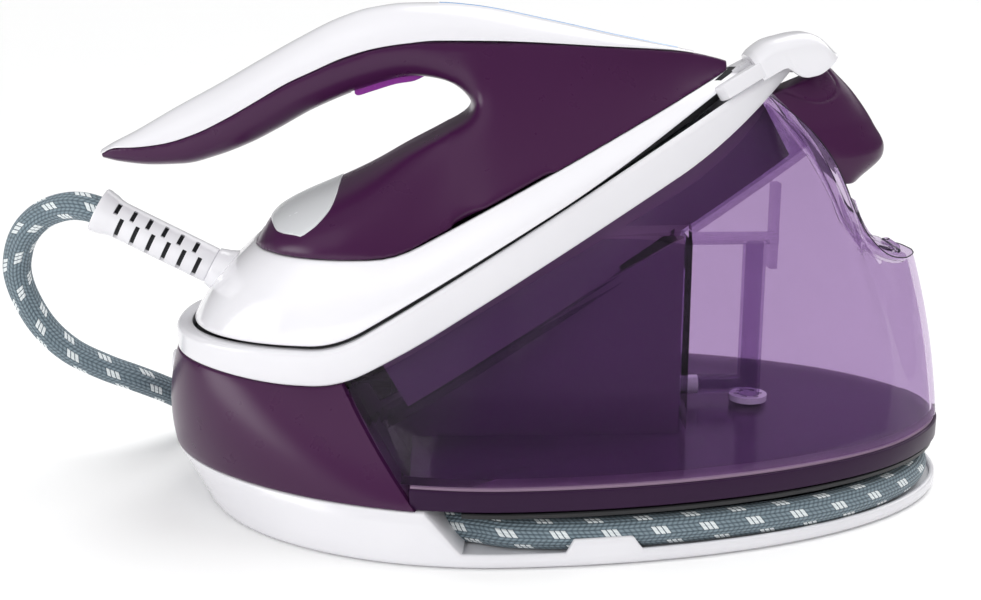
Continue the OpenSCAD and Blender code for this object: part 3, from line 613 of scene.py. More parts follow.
def make_hose():
    """The braided hose as one tube, from the strain relief round the base to its socket."""
    line, total = evenly(spline(LOOP_ROUTE + WRAP_ROUTE[1:], 24), RING_STEP)
    mesh = bpy.data.meshes.new("steam_hose")
    bm = bmesh.new()
    layer = bm.loops.layers.uv.new("sleeve")
    rings, side = [], Vector((0, 1, 0))
    for i, centre in enumerate(line):
        ahead = (line[min(i + 1, len(line) - 1)] - line[max(i - 1, 0)]).normalized()
        side = (side - ahead * side.dot(ahead)).normalized()
        other = ahead.cross(side)
        ring = []
        for j in range(RING_POINTS):
            u = j / RING_POINTS
            a = 2 * math.pi * u
            radius = HOSE_D / 2 - BRAID_DEPTH * (1 - braid_height(u))
            ring.append(bm.verts.new((centre + (side * math.cos(a) + other * math.sin(a)) * radius) * MM))
        rings.append(ring)
    for i in range(len(rings) - 1):
        for j in range(RING_POINTS):
            k = (j + 1) % RING_POINTS
            face = bm.faces.new((rings[i][j], rings[i][k], rings[i + 1][k], rings[i + 1][j]))
            face.smooth = True
            for loop, (u, row) in zip(face.loops, ((j, i), (j + 1, i), (j + 1, i + 1), (j, i + 1))):
                loop[layer].uv = (u / RING_POINTS, total * row / (len(rings) - 1))
    for ring in (rings[0], rings[-1]):
        bm.faces.new(ring)
    bmesh.ops.recalc_face_normals(bm, faces=bm.faces)
    bm.to_mesh(mesh)
    bm.free()
    obj = bpy.data.objects.new("steam_hose", mesh)
    bpy.context.collection.objects.link(obj)
    declare(obj, "hose_braid", None, "hose_loop", "hose_wrap")
    path = [p * MM for p in evenly(line, 8)[0]]
    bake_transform(obj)


make_hose()


# ---------------------------------------------------------------- base station
CHANNEL_NEAR, CHANNEL_FAR = -46, -112    # where the hose channel's ends meet the floor
CHANNEL_RUN = 20                         # how far its slanted ends lean back
LIP_TOP = 6.5
LIP_WALL = 2.5
END_WALL = 21
TAB_MIDDLE, TAB_TOP = 12, 12             # tab in the lip, at the middle of the near side
TAB_FOOT, TAB_HEAD = 16.5, 12            # its half widths


def tray_top(x, near):
    """Height of the tray's wall: full at the heel, a slanted end, then the lip with its tab."""
    foot = CHANNEL_NEAR if near else CHANNEL_FAR
    end = FLOOR_TOP + (foot - x) * (WAIST_Z - GAP - FLOOR_TOP) / CHANNEL_RUN
    tab = LIP_TOP
    if near:
        lean = (TAB_FOOT - abs(x - TAB_MIDDLE)) / (TAB_FOOT - TAB_HEAD)
        tab = mix(LIP_TOP, TAB_TOP, smooth(lean) if lean < 1 else 1)
    return min(WAIST_Z - GAP, max(end, tab))


def tray_wall(a):
    """Profile of the tray at one angle, from the middle of its underside up and in to its floor."""
    near = a > 180
    foot = CHANNEL_NEAR if near else CHANNEL_FAR
    x = ground(a)[0]
    top = tray_top(x, near)
    wall = END_WALL if x < foot - (LIP_TOP - FLOOR_TOP) else LIP_WALL

    def at(d, z):
        f = max(0, (z - 3.5) / (WAIST_Z - 3.5))
        return mix(ground(a, d), waist(a, d), f) + (z,)

    r = 0.9
    outer = [at(0, mix(3.5, top - r, f)) for f in (0, 0.25, 0.5, 0.75, 1)]
    return ([at(8, 0), at(3, 0), at(1.4, 0.7), at(0.5, 1.8)] + outer
            + [at(0.3, top - 0.3), at(r, top), at(wall - 0.7, top), at(wall - 0.2, top - 0.2),
               at(wall, top - 0.7), at(wall, FLOOR_TOP), at(END_WALL + 4, FLOOR_TOP)])


def tray_angles():
    """Every 1.5 degrees, and closely where the wall's height or thickness changes."""
    special = []
    for x, near in ((CHANNEL_NEAR - CHANNEL_RUN, True), (CHANNEL_NEAR - 2, True),
                    (TAB_MIDDLE - TAB_FOOT, True), (TAB_MIDDLE + TAB_FOOT, True),
                    (TAB_MIDDLE - TAB_HEAD, True), (TAB_MIDDLE + TAB_HEAD, True),
                    (CHANNEL_FAR - CHANNEL_RUN, False), (CHANNEL_FAR - 2, False)):
        reach = 136 if x < X_MID else 212
        a = math.degrees(math.acos((x - X_MID) / reach))
        a = 360 - a if near else a
        special += [a - 0.12, a + 0.12]
        if near and TAB_MIDDLE - TAB_FOOT <= x <= TAB_MIDDLE + TAB_FOOT:
            special += [a - 0.6, a + 0.6]
    return sorted(special + [1.5 * i for i in range(240)])


def make_tray():
    shape = skin([tray_wall(a) for a in tray_angles()], loop=True, ring=False)
    count = len(shape[0]) // len(tray_angles())
    rows = range(0, len(shape[0]), count)
    shape[1].append(tuple(r for r in rows))
    shape[1].append(tuple(r + count - 1 for r in rows))
    tray = solid("tray", shape)
    for x, y in ((-110, 55), (-110, -55), (105, 55), (105, -55)):
        combine(tray, "DIFFERENCE", solid("foot_seat", placed(rod(10.1, -1, 2), (x, y, 0), (0, 0, 1))))
    shade(tray.data, 40)
    declare(tray, "white_plastic", "base", "base_tray")


def channel_wall(a):
    """Inner wall and roof of the hose channel at one angle."""
    near = a > 180
    x = waist(a, 19)[0]
    step = 8.8 * smooth((-24 - x) / 32) if near else 0
    d, top, roof = 19 + step, WAIST_Z - GAP, WAIST_Z - 2.5
    section = [(d + 2.5, FLOOR_TOP), (d, FLOOR_TOP), (d, roof - 1.2), (d - 0.4, roof - 0.3), (d - 1.2, roof),
               (2.4, roof), (2, roof + 0.4), (2, top - 0.4), (2.4, top), (d + 2.5, top)]
    return [waist(a, inset_by) + (z,) for inset_by, z in section]


def make_channel():
    start = 360 - math.degrees(math.acos((-53 - X_MID) / 150))
    end = math.degrees(math.acos((CHANNEL_FAR + 0.5 - X_MID) / 140)) + 360
    piece("channel", skin([channel_wall(a) for a in steps(start, end, 150)]), "black_plastic", "base",
          "hose_channel")


def shell_section(k, levels, z0, wall, soft):
    """Profile of a housing wall with softened rims, out and up, then in and down."""
    def at(g, d):
        p = wall_point(abs(k), g, z0, d)
        return mirrored(p) if k < 0 else p
    outer = [at(0, soft), at(0.006, 0.25 * soft)] + [at(g, 0) for g in levels]
    outer += [at(0.994, 0.25 * soft), at(1, soft)]
    return outer + [at(g, wall) for g in (1, 0.75, 0.5, 0.25, 0)]


HEEL_LEVELS = steps(0.02, 0.98, 14)
BUTTON_Z, ECO_Z = 58, 41
KNOB_AT = (-143, 62, 46)
KNOB_AXIS = (-0.5299, 0.848, 0)


def make_heel_shell():
    ks = [K_SEAM * t for t in steps(-1, 1, 150)]
    ks = [-K_SEAM + 0.0006] + [k for k in ks if abs(k) < K_SEAM - 0.001] + [K_SEAM - 0.0006]
    sections = [shell_section(k, HEEL_LEVELS, WAIST_Z, WALL, 0.6) for k in ks]
    heel = solid("heel_shell", skin(sections))
    holes = [placed(rod(r, 0, 30), (-195, 0, z), ALONG_X)
             for r, z in ((6.8, BUTTON_Z), (5.3, ECO_Z))]
    holes.append(placed(rod(7, -30, 30), KNOB_AT, KNOB_AXIS))
    for hole in holes:
        combine(heel, "DIFFERENCE", solid("hole", hole))
    shade(heel.data, 40)
    declare(heel, "purple_plastic", "base", "lower_housing")


def make_bulkhead():
    """End walls of the heel's housing beside the inner housing, behind the tank."""
    for side, name in ((-1, "bulkhead_near"), (1, "bulkhead_far")):
        rows = []
        for g in steps(0.005, 0.985, 40):
            x, y, z = wall_point(K_SEAM - 0.004, g, WAIST_Z, WALL - 0.2)
            inner = CORE_HALF + 0.4 if z < roof_z(x, ROOF_LOW) - 1 else leaf_y(x, ROOF_O) + 0.6
            inner = min(inner, y - 0.5)
            rows.append([(x + dx, side * w, z) for dx, w in ((0, y), (0, inner), (-1.6, inner), (-1.6, y))])
        piece(name, skin(rows), "dark_plastic", "base")


def band_section(a):
    """Rounded profile of the white band round the iron's rest."""
    top, low, r = rest_z(leaf(a, BAND_O)[0]), band_low(leaf(a, BAND_O)[0]), 2.2
    inner_top = rest_z(leaf(a, inset(BAND_O, BAND))[0])
    points = [(0.5, low), (0.1, low + 0.4)]
    points += [(0, mix(low + 1, top - r, f)) for f in (0, 0.33, 0.66, 1)]
    points += [(r * (1 - math.cos(t)), top - r + r * math.sin(t)) for t in steps(0.3, math.pi / 2, 5)]
    points += [(mix(r, BAND - 0.8, 0.5), mix(top, inner_top, 0.5)), (BAND - 0.8, inner_top),
               (BAND - 0.2, inner_top - 0.2), (BAND, inner_top - 0.8), (BAND, low + 0.3), (BAND - 0.3, low)]
    return [leaf(a, inset(BAND_O, d)) + (z,) for d, z in points]


def make_band():
    piece("rest_rim", skin([band_section(a) for a in steps(0, 358.5, 239)], loop=True), "white_plastic", "base",
          "rest_band", angle=50)


LOCK_TOP = table([(217, 12.4), (220, 13.7), (226, 14.5), (234.7, 12.7), (241, 10.6), (245, 8.4), (248, 5),
                  (250, 0), (251, -3.4), (251.7, -6)])
LOCK_RIM = table([(217, 0.6), (226, 0.8), (228.5, 0.4), (230, -1.6), (231, -3.8), (233, -6.6), (236, -8.3),
                  (241, -9.4), (246, -8.6), (249.5, -7.4), (251.7, -6.6)])
LOCK_HALF = 15
PRONG = [(196, 14.6), (197, 17), (199.6, 18.9), (208, 17.3), (219, 15), (219, 7)]


def lock_section(s):
    """Cross-section of the lock: a crown, two cheeks and the hollow between them."""
    top, rim = LOCK_TOP(s), LOCK_RIM(s)
    ceiling = mix(0.5, rim, smooth((s - 237) / 4))
    shoulder = max(rim + 0.3, top - 6)
    half = LOCK_HALF - 3.5 * smooth((s - 246) / 6) ** 2
    sides = [(half - 1, rim), (half - 0.3, rim + 0.2), (half, min(rim + 1, shoulder)), (half, shoulder)]
    crown = [(half * math.cos(t) ** 0.5, mix(shoulder, top, math.sin(t) ** 1.4))
             for t in steps(0.12, math.pi / 2, 12)]
    floor = [(half - 3, rim), (half - 3.4, max(rim, ceiling) if s > 228 else ceiling)]
    near = [(-y, n) for y, n in floor[::-1] + sides + crown]
    return [on_slope(s, y, n) for y, n in near + [(-y, n) for y, n in reversed(near[:-1])]]


def make_lock():
    """Carry lock: a crowned catch with two prongs that reach past the iron's nose."""
    places = [217, 217.3, 218] + steps(219, 250, 62) + [250.6, 251.1, 251.5, 251.7]
    shapes = [skin([lock_section(s) for s in places])]
    for side in (-1, 1):
        layers = []
        for n, d in ((2, 0.5), (2.4, 0.1), (3, 0), (8, 0), (8.7, 0.15), (9, 0.6)):
            middle = (206, 14.5)
            layers.append([on_slope(mix(s, middle[0], d / 8), side * mix(y, middle[1], d / 4), n)
                           for s, y in PRONG])
        shapes.append(skin(layers))
    lock = solid("lock", shapes[0])
    for k, shape in enumerate(shapes[1:]):
        combine(lock, "UNION", solid(f"prong_{k}", shape, bevel=0.5, angle=50))
    shade(lock.data, 35)
    declare(lock, "white_plastic", "lock", "carry_lock")


make_tray()
make_channel()
make_heel_shell()
make_bulkhead()
make_band()
make_lock()


# ---------------------------------------------------------------- water tank
TANK_KS = [mix(K_TANK, K_NOSE, t) for t in steps(0, 1, 44)] + [mix(K_NOSE, 1, t) for t in steps(0, 1, 40)][1:]
TANK_LEVELS = [0, 0.004, 0.012] + steps(0.05, 1, 24)
ACROSS = 8                # strips of the scoop's floor from the near edge to the far edge
SCOOP_SAG = 2.5
LID_PIN = (156, 111)      # x and z of the filler lid's pin
PORT_Z = 44               # height of the tank's outlet
TANK_BASE = WAIST_Z + 10  # where the clear tank starts, above its foot


def tank_block(d, z0):
    """Solid of the tank's outside, or of its inside when set in by d."""
    near = []
    for k in TANK_KS:
        column = []
        for g in TANK_LEVELS:
            soft = 1.0 - min(1, g / 0.012) if d == 0 else 0
            p = wall_point(k, g, z0 + d, d + soft)
            back = d if k == K_TANK else 0
            column.append((p[0] + back, p[1], p[2] - d * g))
        near.append(column)
    verts, faces = [], []
    count, rows = len(near), len(TANK_LEVELS)
    for column in near:
        verts += column
    far = len(verts)
    for column in near[:-1]:
        verts += [mirrored(p) for p in column]

    def at(i, j, flip):
        return (i * rows if not flip or i == count - 1 else far + i * rows) + j

    for flip in (False, True):
        for i in range(count - 1):
            for j in range(rows - 1):
                faces.append((at(i, j, flip), at(i + 1, j, flip), at(i + 1, j + 1, flip), at(i, j + 1, flip)))
    bottom = [at(i, 0, False) for i in range(count)] + [at(i, 0, True) for i in range(count - 2, -1, -1)]
    faces.append(tuple(bottom))
    lines = []
    for i in range(count - 1):
        a, b = Vector(near[i][-1]), Vector(mirrored(near[i][-1]))
        sag = SCOOP_SAG * smooth((a.x - 96) / 12) * smooth((164 - a.x) / 10)
        line = [at(i, rows - 1, False)]
        for t in steps(0, 1, ACROSS)[1:-1]:
            p = a.lerp(b, t)
            drop = sag * 4 * t * (1 - t)
            line.append(len(verts))
            verts.append((p.x - drop * 0.8, p.y, p.z - drop * 0.6))
        line.append(at(i, rows - 1, True))
        lines.append(line)
    for a, b in zip(lines, lines[1:]):
        for j in range(ACROSS):
            faces.append((a[j], a[j + 1], b[j + 1], b[j]))
    tip = at(count - 1, rows - 1, False)
    for j in range(ACROSS):
        faces.append((lines[-1][j], lines[-1][j + 1], tip))
    front = [at(0, j, False) for j in range(rows)] + lines[0][1:-1]
    faces.append(tuple(front + [at(0, j, True) for j in range(rows - 1, -1, -1)]))
    return verts, faces


def keepout(d):
    """Solids of the space that the inner housing and its roof take out of the tank."""
    x = CORE_X + d
    top = roof_z(x, ROOF_LOW + d)
    box = slab([(-150, WAIST_Z - d), (x, WAIST_Z - d), (x, top), (-150, top)], CORE_HALF + d)
    roof = slope_slab(leaf_outline(inset(BAND_O, BAND + 1 - d), -110), ROOF_LOW - d, 60)
    return box, roof


LID_TABLE = [(134.2, 134), (136.5, 126), (141, 118.5), (147.5, 113.2), (155, 111)]
LID_HALF = [9, 13, 16, 17, 14]
LID_LINE = spline([(x, w, z) for (x, z), w in zip(LID_TABLE, LID_HALF)], 8)


def lid_shape(up, down, grow):
    """The filler lid's solid: it follows the scoop's floor."""
    rows = []
    last = len(LID_LINE) - 1
    for i, p in enumerate(LID_LINE):
        before, after = LID_LINE[max(i - 1, 0)], LID_LINE[min(i + 1, last)]
        t = Vector((after.x - before.x, 0, after.z - before.z)).normalized()
        n = Vector((-t.z, 0, t.x))
        shift = t * (-grow if i == 0 else grow if i == last else 0)
        w = p.y + grow
        centre = Vector((p.x, 0, p.z)) + shift
        rows.append([tuple(centre + n * h + Vector((0, y, 0)))
                     for h, y in ((up, -w), (up, w), (-down, w), (-down, -w))])
    return skin(rows)


def make_tank():
    tank = solid("tank_body", tank_block(0, TANK_BASE))
    hollow = solid("hollow", tank_block(TANK_WALL, TANK_BASE))
    for shape in keepout(TANK_GAP):
        combine(tank, "DIFFERENCE", solid("keepout", shape))
    for shape in keepout(TANK_WALL + TANK_GAP):
        combine(hollow, "DIFFERENCE", solid("keepout", shape))
    combine(tank, "DIFFERENCE", hollow, solid("mouth", lid_shape(12, 0.6, 0.6)),
            solid("knuckle", placed(rod(3, 0, 15.2), (LID_PIN[0], -7.6, LID_PIN[1]), ACROSS_Y)),
            solid("port", placed(rod(4.5, 0, 10), (CORE_X - 2, 0, PORT_Z), ALONG_X)))
    shade(tank.data, 38)
    declare(tank, "clear_tank", "tank", "water_tank")


def make_lid():
    lid = solid("lid_flap", lid_shape(1.2, 0.4, 0), bevel=0.3, angle=50)
    knuckle = turned([(0, 0), (2.3, 0), (2.5, 0.2), (2.5, 13.8), (2.3, 14), (0, 14)])
    combine(lid, "UNION", solid("knuckle", placed(knuckle, (LID_PIN[0], -7, LID_PIN[1]), ACROSS_Y)))
    combine(lid, "DIFFERENCE", solid("bore", placed(rod(1.05, 0, 40), (LID_PIN[0], -20, LID_PIN[1]), ACROSS_Y)))
    shade(lid.data, 38)
    declare(lid, "clear_tank", "lid", "filler_lid")


def make_tank_foot():
    outline = [wall_point(k, 0, WAIST_Z + 5)[:2] for k in TANK_KS]
    outline += [(x, -y) for x, y in reversed(outline[:-1])]
    foot = solid("tank_plinth", prism(outline, WAIST_Z + GAP, WAIST_Z + 8.9), bevel=0.5, angle=50)
    side = CORE_HALF + TANK_GAP
    front = CORE_X + TANK_GAP
    inner = [wall_point(k, 0, WAIST_Z + 5, 1.5)[:2] for k in TANK_KS]
    inner += [(x, -y) for x, y in reversed(inner[:-1])]
    floor = solid("tank_floor", prism(inner, WAIST_Z + 9, WAIST_Z + 9.8))
    for part in (foot, floor):
        combine(part, "DIFFERENCE",
                solid("core", prism([(-150, -side), (front, -side), (front, side), (-150, side)], 0, 50)),
                solid("heel", prism([(-140, -120), (-70, -120), (-70, 120), (-140, 120)], 0, 50)))
        shade(part.data, 38)
    declare(foot, "foot_plastic", "tank", "tank_foot")
    declare(floor, "dark_plastic", "tank")


CAP_LEVELS = [(95, 9.4, 182.6, 122, 194), (102, 16.2, 175.4, 133, 183), (111, 21.2, 166.9, 142.8, 169.5),
              (120, 22.7, 155.4, 148.8, 157.5), (121.2, 22.5, 153.5, 148.4, 154.8),
              (127, 20.2, 143.4, 135.5, 143)]    # seam's x, half width, seam's z, front's x and z
GROOVE = [(-86, -0.02), (-80, 0.08), (-74, 0.16), (-65, 0.2), (-50, 0.19), (-36, 0.14), (-27, 0.07),
          (-22, -0.02)]                          # angle round the cap and share of the way down


def cap_curve(column):
    xs = [0, 0.22, 0.45, 0.75, 0.8, 1]
    return table([(t, level[column]) for t, level in zip(xs, CAP_LEVELS)])


def make_cap():
    """The nose of the tank below the lock."""
    seam_x, half, seam_z, front_x, front_z = (cap_curve(c) for c in range(5))

    def at(a, v, tuck=0.0):
        t = max(0, math.cos(a)) ** mix(0.8, 1.15, v)
        return Vector((mix(seam_x(v), front_x(v) - tuck, t), (half(v) - tuck) * math.sin(a),
                       mix(seam_z(v), front_z(v), t)))

    groove = [at(math.radians(p.x), max(0, p.y)) for p in spline([(a, v, 0) for a, v in GROOVE], 8)]
    groove += [Vector((p.x, -p.y, p.z)) for p in groove]
    rows = []
    for v in [0, 0.004, 0.012] + steps(0.02, 0.97, 110) + [0.988, 0.996, 1]:
        tuck = 1.2 * (1 - math.sqrt(1 - (1 - min(1, min(v, 1 - v) / 0.012)) ** 2))
        row = []
        for i in steps(-1, 1, 130):
            p = at(math.pi / 2 * i, v, tuck)
            if v < 0.26:
                near = min((p - q).length for q in groove)
                inward = (Vector((seam_x(v), 0, seam_z(v))) - p).normalized()
                p += inward * 0.8 * math.exp(-(near / 0.7) ** 2)
            row.append(tuple(p))
        rows.append(row)
    piece("cap", skin(rows), "purple_plastic", "tank", "tank_cap", angle=45)


def tube(points, r, sides=10):
    """Round bar along a line of points."""
    rings, side = [], Vector((0, 0, 1))
    last = len(points) - 1
    for i, centre in enumerate(points):
        ahead = (Vector(points[min(i + 1, last)]) - Vector(points[max(i - 1, 0)])).normalized()
        side = (side - ahead * side.dot(ahead)).normalized()
        other = ahead.cross(side)
        rings.append([tuple(Vector(centre) + (side * math.cos(a) + other * math.sin(a)) * r)
                      for a in (2 * math.pi * j / sides for j in range(sides))])
    return skin(rings)


def make_scoop_seal():
    """Thin dark bead along the edge of the filling scoop, under the cap and round the scoop's front."""
    near = [(p.x + 0.1, -p.y - 0.1, p.z + 0.1) for p in EDGE_LINE]
    piece("scoop_seal", tube(near + [mirrored(p) for p in reversed(near[:-1])], 0.25), "black_rubber", "tank")


make_tank()
make_scoop_seal()
make_lid()
make_tank_foot()
make_cap()


# ---------------------------------------------------------------- iron
DECK = table([(-137, 119), (-132, 127), (-127, 131.5), (-100, 144), (-84, 151.5), (-70, 159), (-56, 166),
              (-46, 171.5), (-41, 174.5), (-38, 179), (-36, 190), (-34, 206.5), (22, 203.6), (50, 201.6),
              (60, 200.4), (70, 198.2), (76, 196.4)])
UNDER = table([(-207, 155), (-197, 152.8), (-183, 151.6), (-169, 152), (-155, 155.4), (-140, 161), (-126, 168),
               (-112, 175.7), (-100, 181), (-90, 184.7), (-64, 191), (-52.5, 189.5), (-44, 185), (-38, 178),
               (-30, 174)])
LINE = table([(-207, 156.5), (-199, 160), (-189, 160.7), (-176, 162.6), (-162, 167), (-148, 173.7), (-135, 181),
              (-121, 189), (-110, 194), (-96, 200), (-82, 204), (-69, 206), (-55, 207.2), (-32, 207), (22, 204),
              (50, 202), (60, 200.8)])
CROWN = table([(-207, 158), (-203, 160.5), (-192, 166), (-173, 176.7), (-153, 187.3), (-134, 198),
               (-116, 207.8), (-99, 216), (-85, 220.4), (-69, 222.5), (-55, 222.7), (-41, 221.7), (-4, 214.8),
               (24, 208.6), (38, 205.8), (52, 202.9), (60, 201.2)])
GRIP = table([(-207, 4), (-200, 9), (-185, 13.5), (-160, 16.5), (-130, 18), (-60, 18.5), (-20, 17.5), (20, 13),
              (45, 7), (60, 2), (76, 1)])
TRIGGER_PIVOT = (-60, 0, 196)
BOSS_AT = (-149, 0, 98.2)     # foot of the skirt's socket for the hose relief


def shell_low(x):
    return 118 + 0.5 * ramp(x + 74, 10)


def skirt_low(x):
    return rest_z(x) + 1.3 + 0.9 * smooth((x + 150) / 90) + 6 * smooth((x + 5) / 100)


def skirt_section(a):
    """Profile of the white skirt: out and up from the soleplate to the purple shell, and back inside."""
    c, s = math.cos(math.radians(a)), math.sin(math.radians(a))
    outer_low, outer_high = leaf(a, SKIRT_O), leaf(a, SHELL_O)
    inner_low, inner_high = leaf(a, inset(SKIRT_O, 3)), leaf(a, inset(SHELL_O, 3))
    low = skirt_low(outer_low[0])
    tops = shell_low(outer_high[0]), shell_low(inner_high[0])

    def at(f, inner, d=0):
        p = mix(inner_low, inner_high, f) if inner else mix(outer_low, outer_high, f)
        swell = 3.2 * (1 - (2 * f - 1) ** 2) - d
        z = mix(low, tops[1] if inner else tops[0], f)
        return (p[0] + swell * c, p[1] + swell * s, z)

    outer = [at(0, False, 0.9), at(0.012, False, 0.3), at(0.03, False)]
    outer += [at(f, False) for f in steps(0.08, 0.94, 12)]
    outer += [at(0.98, False), at(0.995, False, 0.2), at(1, False, 0.6)]
    return outer + [at(f, True) for f in (1, 0.8, 0.55, 0.3, 0.1, 0)]


def make_skirt():
    skirt = solid("skirt", skin([skirt_section(a) for a in steps(0, 358, 179)], loop=True))
    boss = turned([(0, 0), (14.5, 0), (13.2, 2.5), (11.6, 5), (10.3, 8), (9.4, 11), (9.1, 12), (8.8, 12.4),
                   (0, 12.4)], 64)
    combine(skirt, "UNION", solid("boss", placed(boss, BOSS_AT, RELIEF_AXIS)))
    combine(skirt, "DIFFERENCE", solid("bore", placed(rod(4.5, -20, 40), BOSS_AT, RELIEF_AXIS)),
            solid("slot", skin([[on_slope(s, y, n) for s, y in ((195, -5), (225, -5), (225, 5), (195, 5))]
                                for n in (7, 11)])))
    shade(skirt.data, 40)
    declare(skirt, "skirt_plastic", "iron", "iron_skirt")


def shadow_ring_section(a):
    """Profile of the black ring in the gap between the skirt and the band, a dark piece that stands in for the
    shadow in that gap as painted shade.
    """
    x = leaf(a, SKIRT_O)[0]
    low, high = rest_z(x) + 0.5, skirt_low(x) + 1.5
    return [leaf(a, inset(SKIRT_O, d)) + (z,)
            for d, z in ((2.2, low + 0.3), (2, low + 0.6), (2, high), (4, high), (4, low), (2.6, low))]


def make_shadow_ring():
    # painted shade: a black ring set in the gap so that the gap reads as shadow
    piece("painted_shadow_ring", skin([shadow_ring_section(a) for a in steps(0, 358, 179)], loop=True), "black_rubber",
          "iron", angle=50)


ARCH_LEVELS = steps(0, 0.64, 16) + [0.68, 0.72, 0.76, 0.8, 0.84, 0.87, 0.9, 0.925, 0.95, 0.965, 0.98, 0.99, 1]
SIDE_TOP = table([(-110, 142), (-100, 150), (-84, 162), (-70, 175), (-56, 189), (-46, 198.5), (-38, 204.5),
                  (-32, 206.5), (22, 203.6), (50, 201.6), (60, 200.4), (70, 198.2), (76, 196.4)])


def dome(w, f, p):
    return w * max(0, 1 - f ** p) ** (1 / p)


def arch(x, d):
    """Cross-section of the purple shell: a low dome at the heel that runs into the column below the handle."""
    w0 = max(1, leaf_y(x, SHELL_O))
    w = w0 - min(d, 0.4 * w0)
    z0 = shell_low(x) + 0.4
    h = max(1.5, DECK(x) - z0)
    z1 = z0 + h - min(d, 0.4 * h)
    tall = max(h, SIDE_TOP(x) - z0)
    power = mix(2.2, 3.2, smooth((x + 95) / 45))
    column_share, open_top = smooth((x + 100) / 55), smooth((x + 43) / 9)
    top = min(w, max(0.3, GRIP(x) - d))
    right = []
    for f in ARCH_LEVELS:
        round_y = max(0.01, dome(w, f, power))
        column_y = top + (w - top) * (1 - f * h / tall) ** 1.7
        joined = (round_y ** -9 + column_y ** -9) ** (-1 / 9)
        y = mix(mix(round_y, joined, column_share), column_y, open_top)
        right.append((y + 0.3, mix(z0, z1, f)))
    return [(x, -y, z) for y, z in right] + [(x, y, z) for y, z in reversed(right)]


BODY_XS = ([-137.5, -137, -136.2, -135, -133.5, -131.5] + steps(-129, -46, 40) + steps(-45, -34.5, 21)
           + steps(-34, 60, 36) + [63, 66, 69, 72, 75])


def trough(x):
    """Cross-section of the handle's lower half, open at the top."""
    z = LINE(x) - 0.2
    h, w = z - UNDER(x), GRIP(x)
    depth = 0.4 if x < -199.1 else max(0.4, h - 2.5)
    wi = max(0.4, w - 2.5)
    join = smooth((x + 86) / 52)
    foot, wide = shell_low(x) + 0.4, leaf_y(x, SHELL_O)
    outer = [(x, -w, z)]
    for t in steps(0.1, math.pi - 0.1, 26):
        zt = z - h * abs(math.sin(t)) ** 0.8
        column = w + (wide - w) * max(0, 1 - (zt - foot) / (z - foot)) ** 1.7 + 0.3
        c = math.cos(t)
        y = -sign(c) * mix(w * abs(c) ** 0.8, column * abs(c) ** 0.22, join)
        outer.append((x, y, zt))
    outer += [(x, w, z)]
    inner = [(x, wi * math.cos(t), z - depth * math.sin(t) ** 0.7) for t in steps(0, math.pi, 12)]
    inner = [(x, wi * math.cos(t), z - depth * math.sin(t) ** 0.7) for t in steps(0, math.pi, 12)]
    return outer, inner + [(x, -wi, z + 3), (x, wi, z + 3)]


VOXEL = 0.8              # grid that the shell is remeshed on


def melted(obj, passes):
    """Remeshes a solid evenly and rounds its joints: passes lists (rounds, x range, z range)."""
    modifier = obj.modifiers.new("remesh", "REMESH")
    modifier.mode = "VOXEL"
    modifier.voxel_size = VOXEL * MM
    bpy.context.view_layer.update()
    mesh = bpy.data.meshes.new_from_object(obj.evaluated_get(bpy.context.evaluated_depsgraph_get()))
    obj.modifiers.clear()
    bm = bmesh.new()
    bm.from_mesh(mesh)
    for rounds, x0, x1, z0, z1 in passes:
        chosen = [v for v in bm.verts if x0 < v.co.x / MM < x1 and z0 < v.co.z / MM < z1]
        for _ in range(rounds):
            bmesh.ops.smooth_vert(bm, verts=chosen, factor=0.5, use_axis_x=True, use_axis_y=True,
                                  use_axis_z=True)
    bm.to_mesh(mesh)
    bm.free()
    obj.data = mesh


def make_shell():
    shell = solid("shell", skin([arch(x, 0) for x in BODY_XS]))
    xs = [-206, -204, -201.5, -199.2, -199] + steps(-196, -34, 60)
    combine(shell, "UNION", solid("trough", skin([trough(x)[0] for x in xs])))
    melted(shell, [(4, -130, 70, 0, 300), (10, -100, -5, 145, 300), (24, -62, -22, 164, 300),
                   (110, -50, -6, 122, 202)])
    hollow = []
    for x in BODY_XS[2:-1]:
        inside = arch(x, 0.8 if x < -130 or x > 60 else WALL)
        hollow.append([(x, inside[0][1], inside[0][2] - 3)] + inside + [(x, inside[-1][1], inside[-1][2] - 3)])
    combine(shell, "DIFFERENCE", solid("hollow", skin(hollow)),
            solid("handle_hollow", skin([trough(x)[1] for x in xs[4:]])),
            solid("opening", prism([(-94, -7.5), (-58, -7.5), (-58, 7.5), (-94, 7.5)], 170, 193)),
            solid("pin_hole", placed(rod(1.55, 0, 26, 24), (TRIGGER_PIVOT[0], -13, TRIGGER_PIVOT[2]),
                                     ACROSS_Y)))
    shade(shell.data, 50)
    declare(shell, "purple_plastic", "iron", "iron_shell")


def cover_section(x):
    """Cross-section of the white handle cover, with the strip's groove along its ridge."""
    z0 = LINE(x) + 0.1
    h, w = CROWN(x) - z0, GRIP(x)
    groove = 0 if x < -54.5 or x > 53 else min(1, h / 4)
    half = min(2.45, w / 5.5)
    side = [(-w * math.cos(t), z0 + h * math.sin(t)) for t in steps(0, 1.22, 10)]
    side = [(y, z) for y, z in side if y < -half - 0.4]
    while len(side) < 11:
        side.append((-half - 0.4, z0 + h * 0.995))
    side += [(-half, z0 + h), (-half, z0 + h - groove)]
    return [(x, y, z) for y, z in side] + [(x, -y, z) for y, z in reversed(side)]


def make_cover():
    xs = [-206.5, -205, -202] + steps(-199, -56, 60) + [-54.7, -54.4] + steps(-52, 52.8, 40)
    xs += [53.2, 55, 57.5, 60]
    piece("cover", skin([cover_section(x) for x in xs]), "white_plastic", "iron",
          "handle_cover", angle=45)


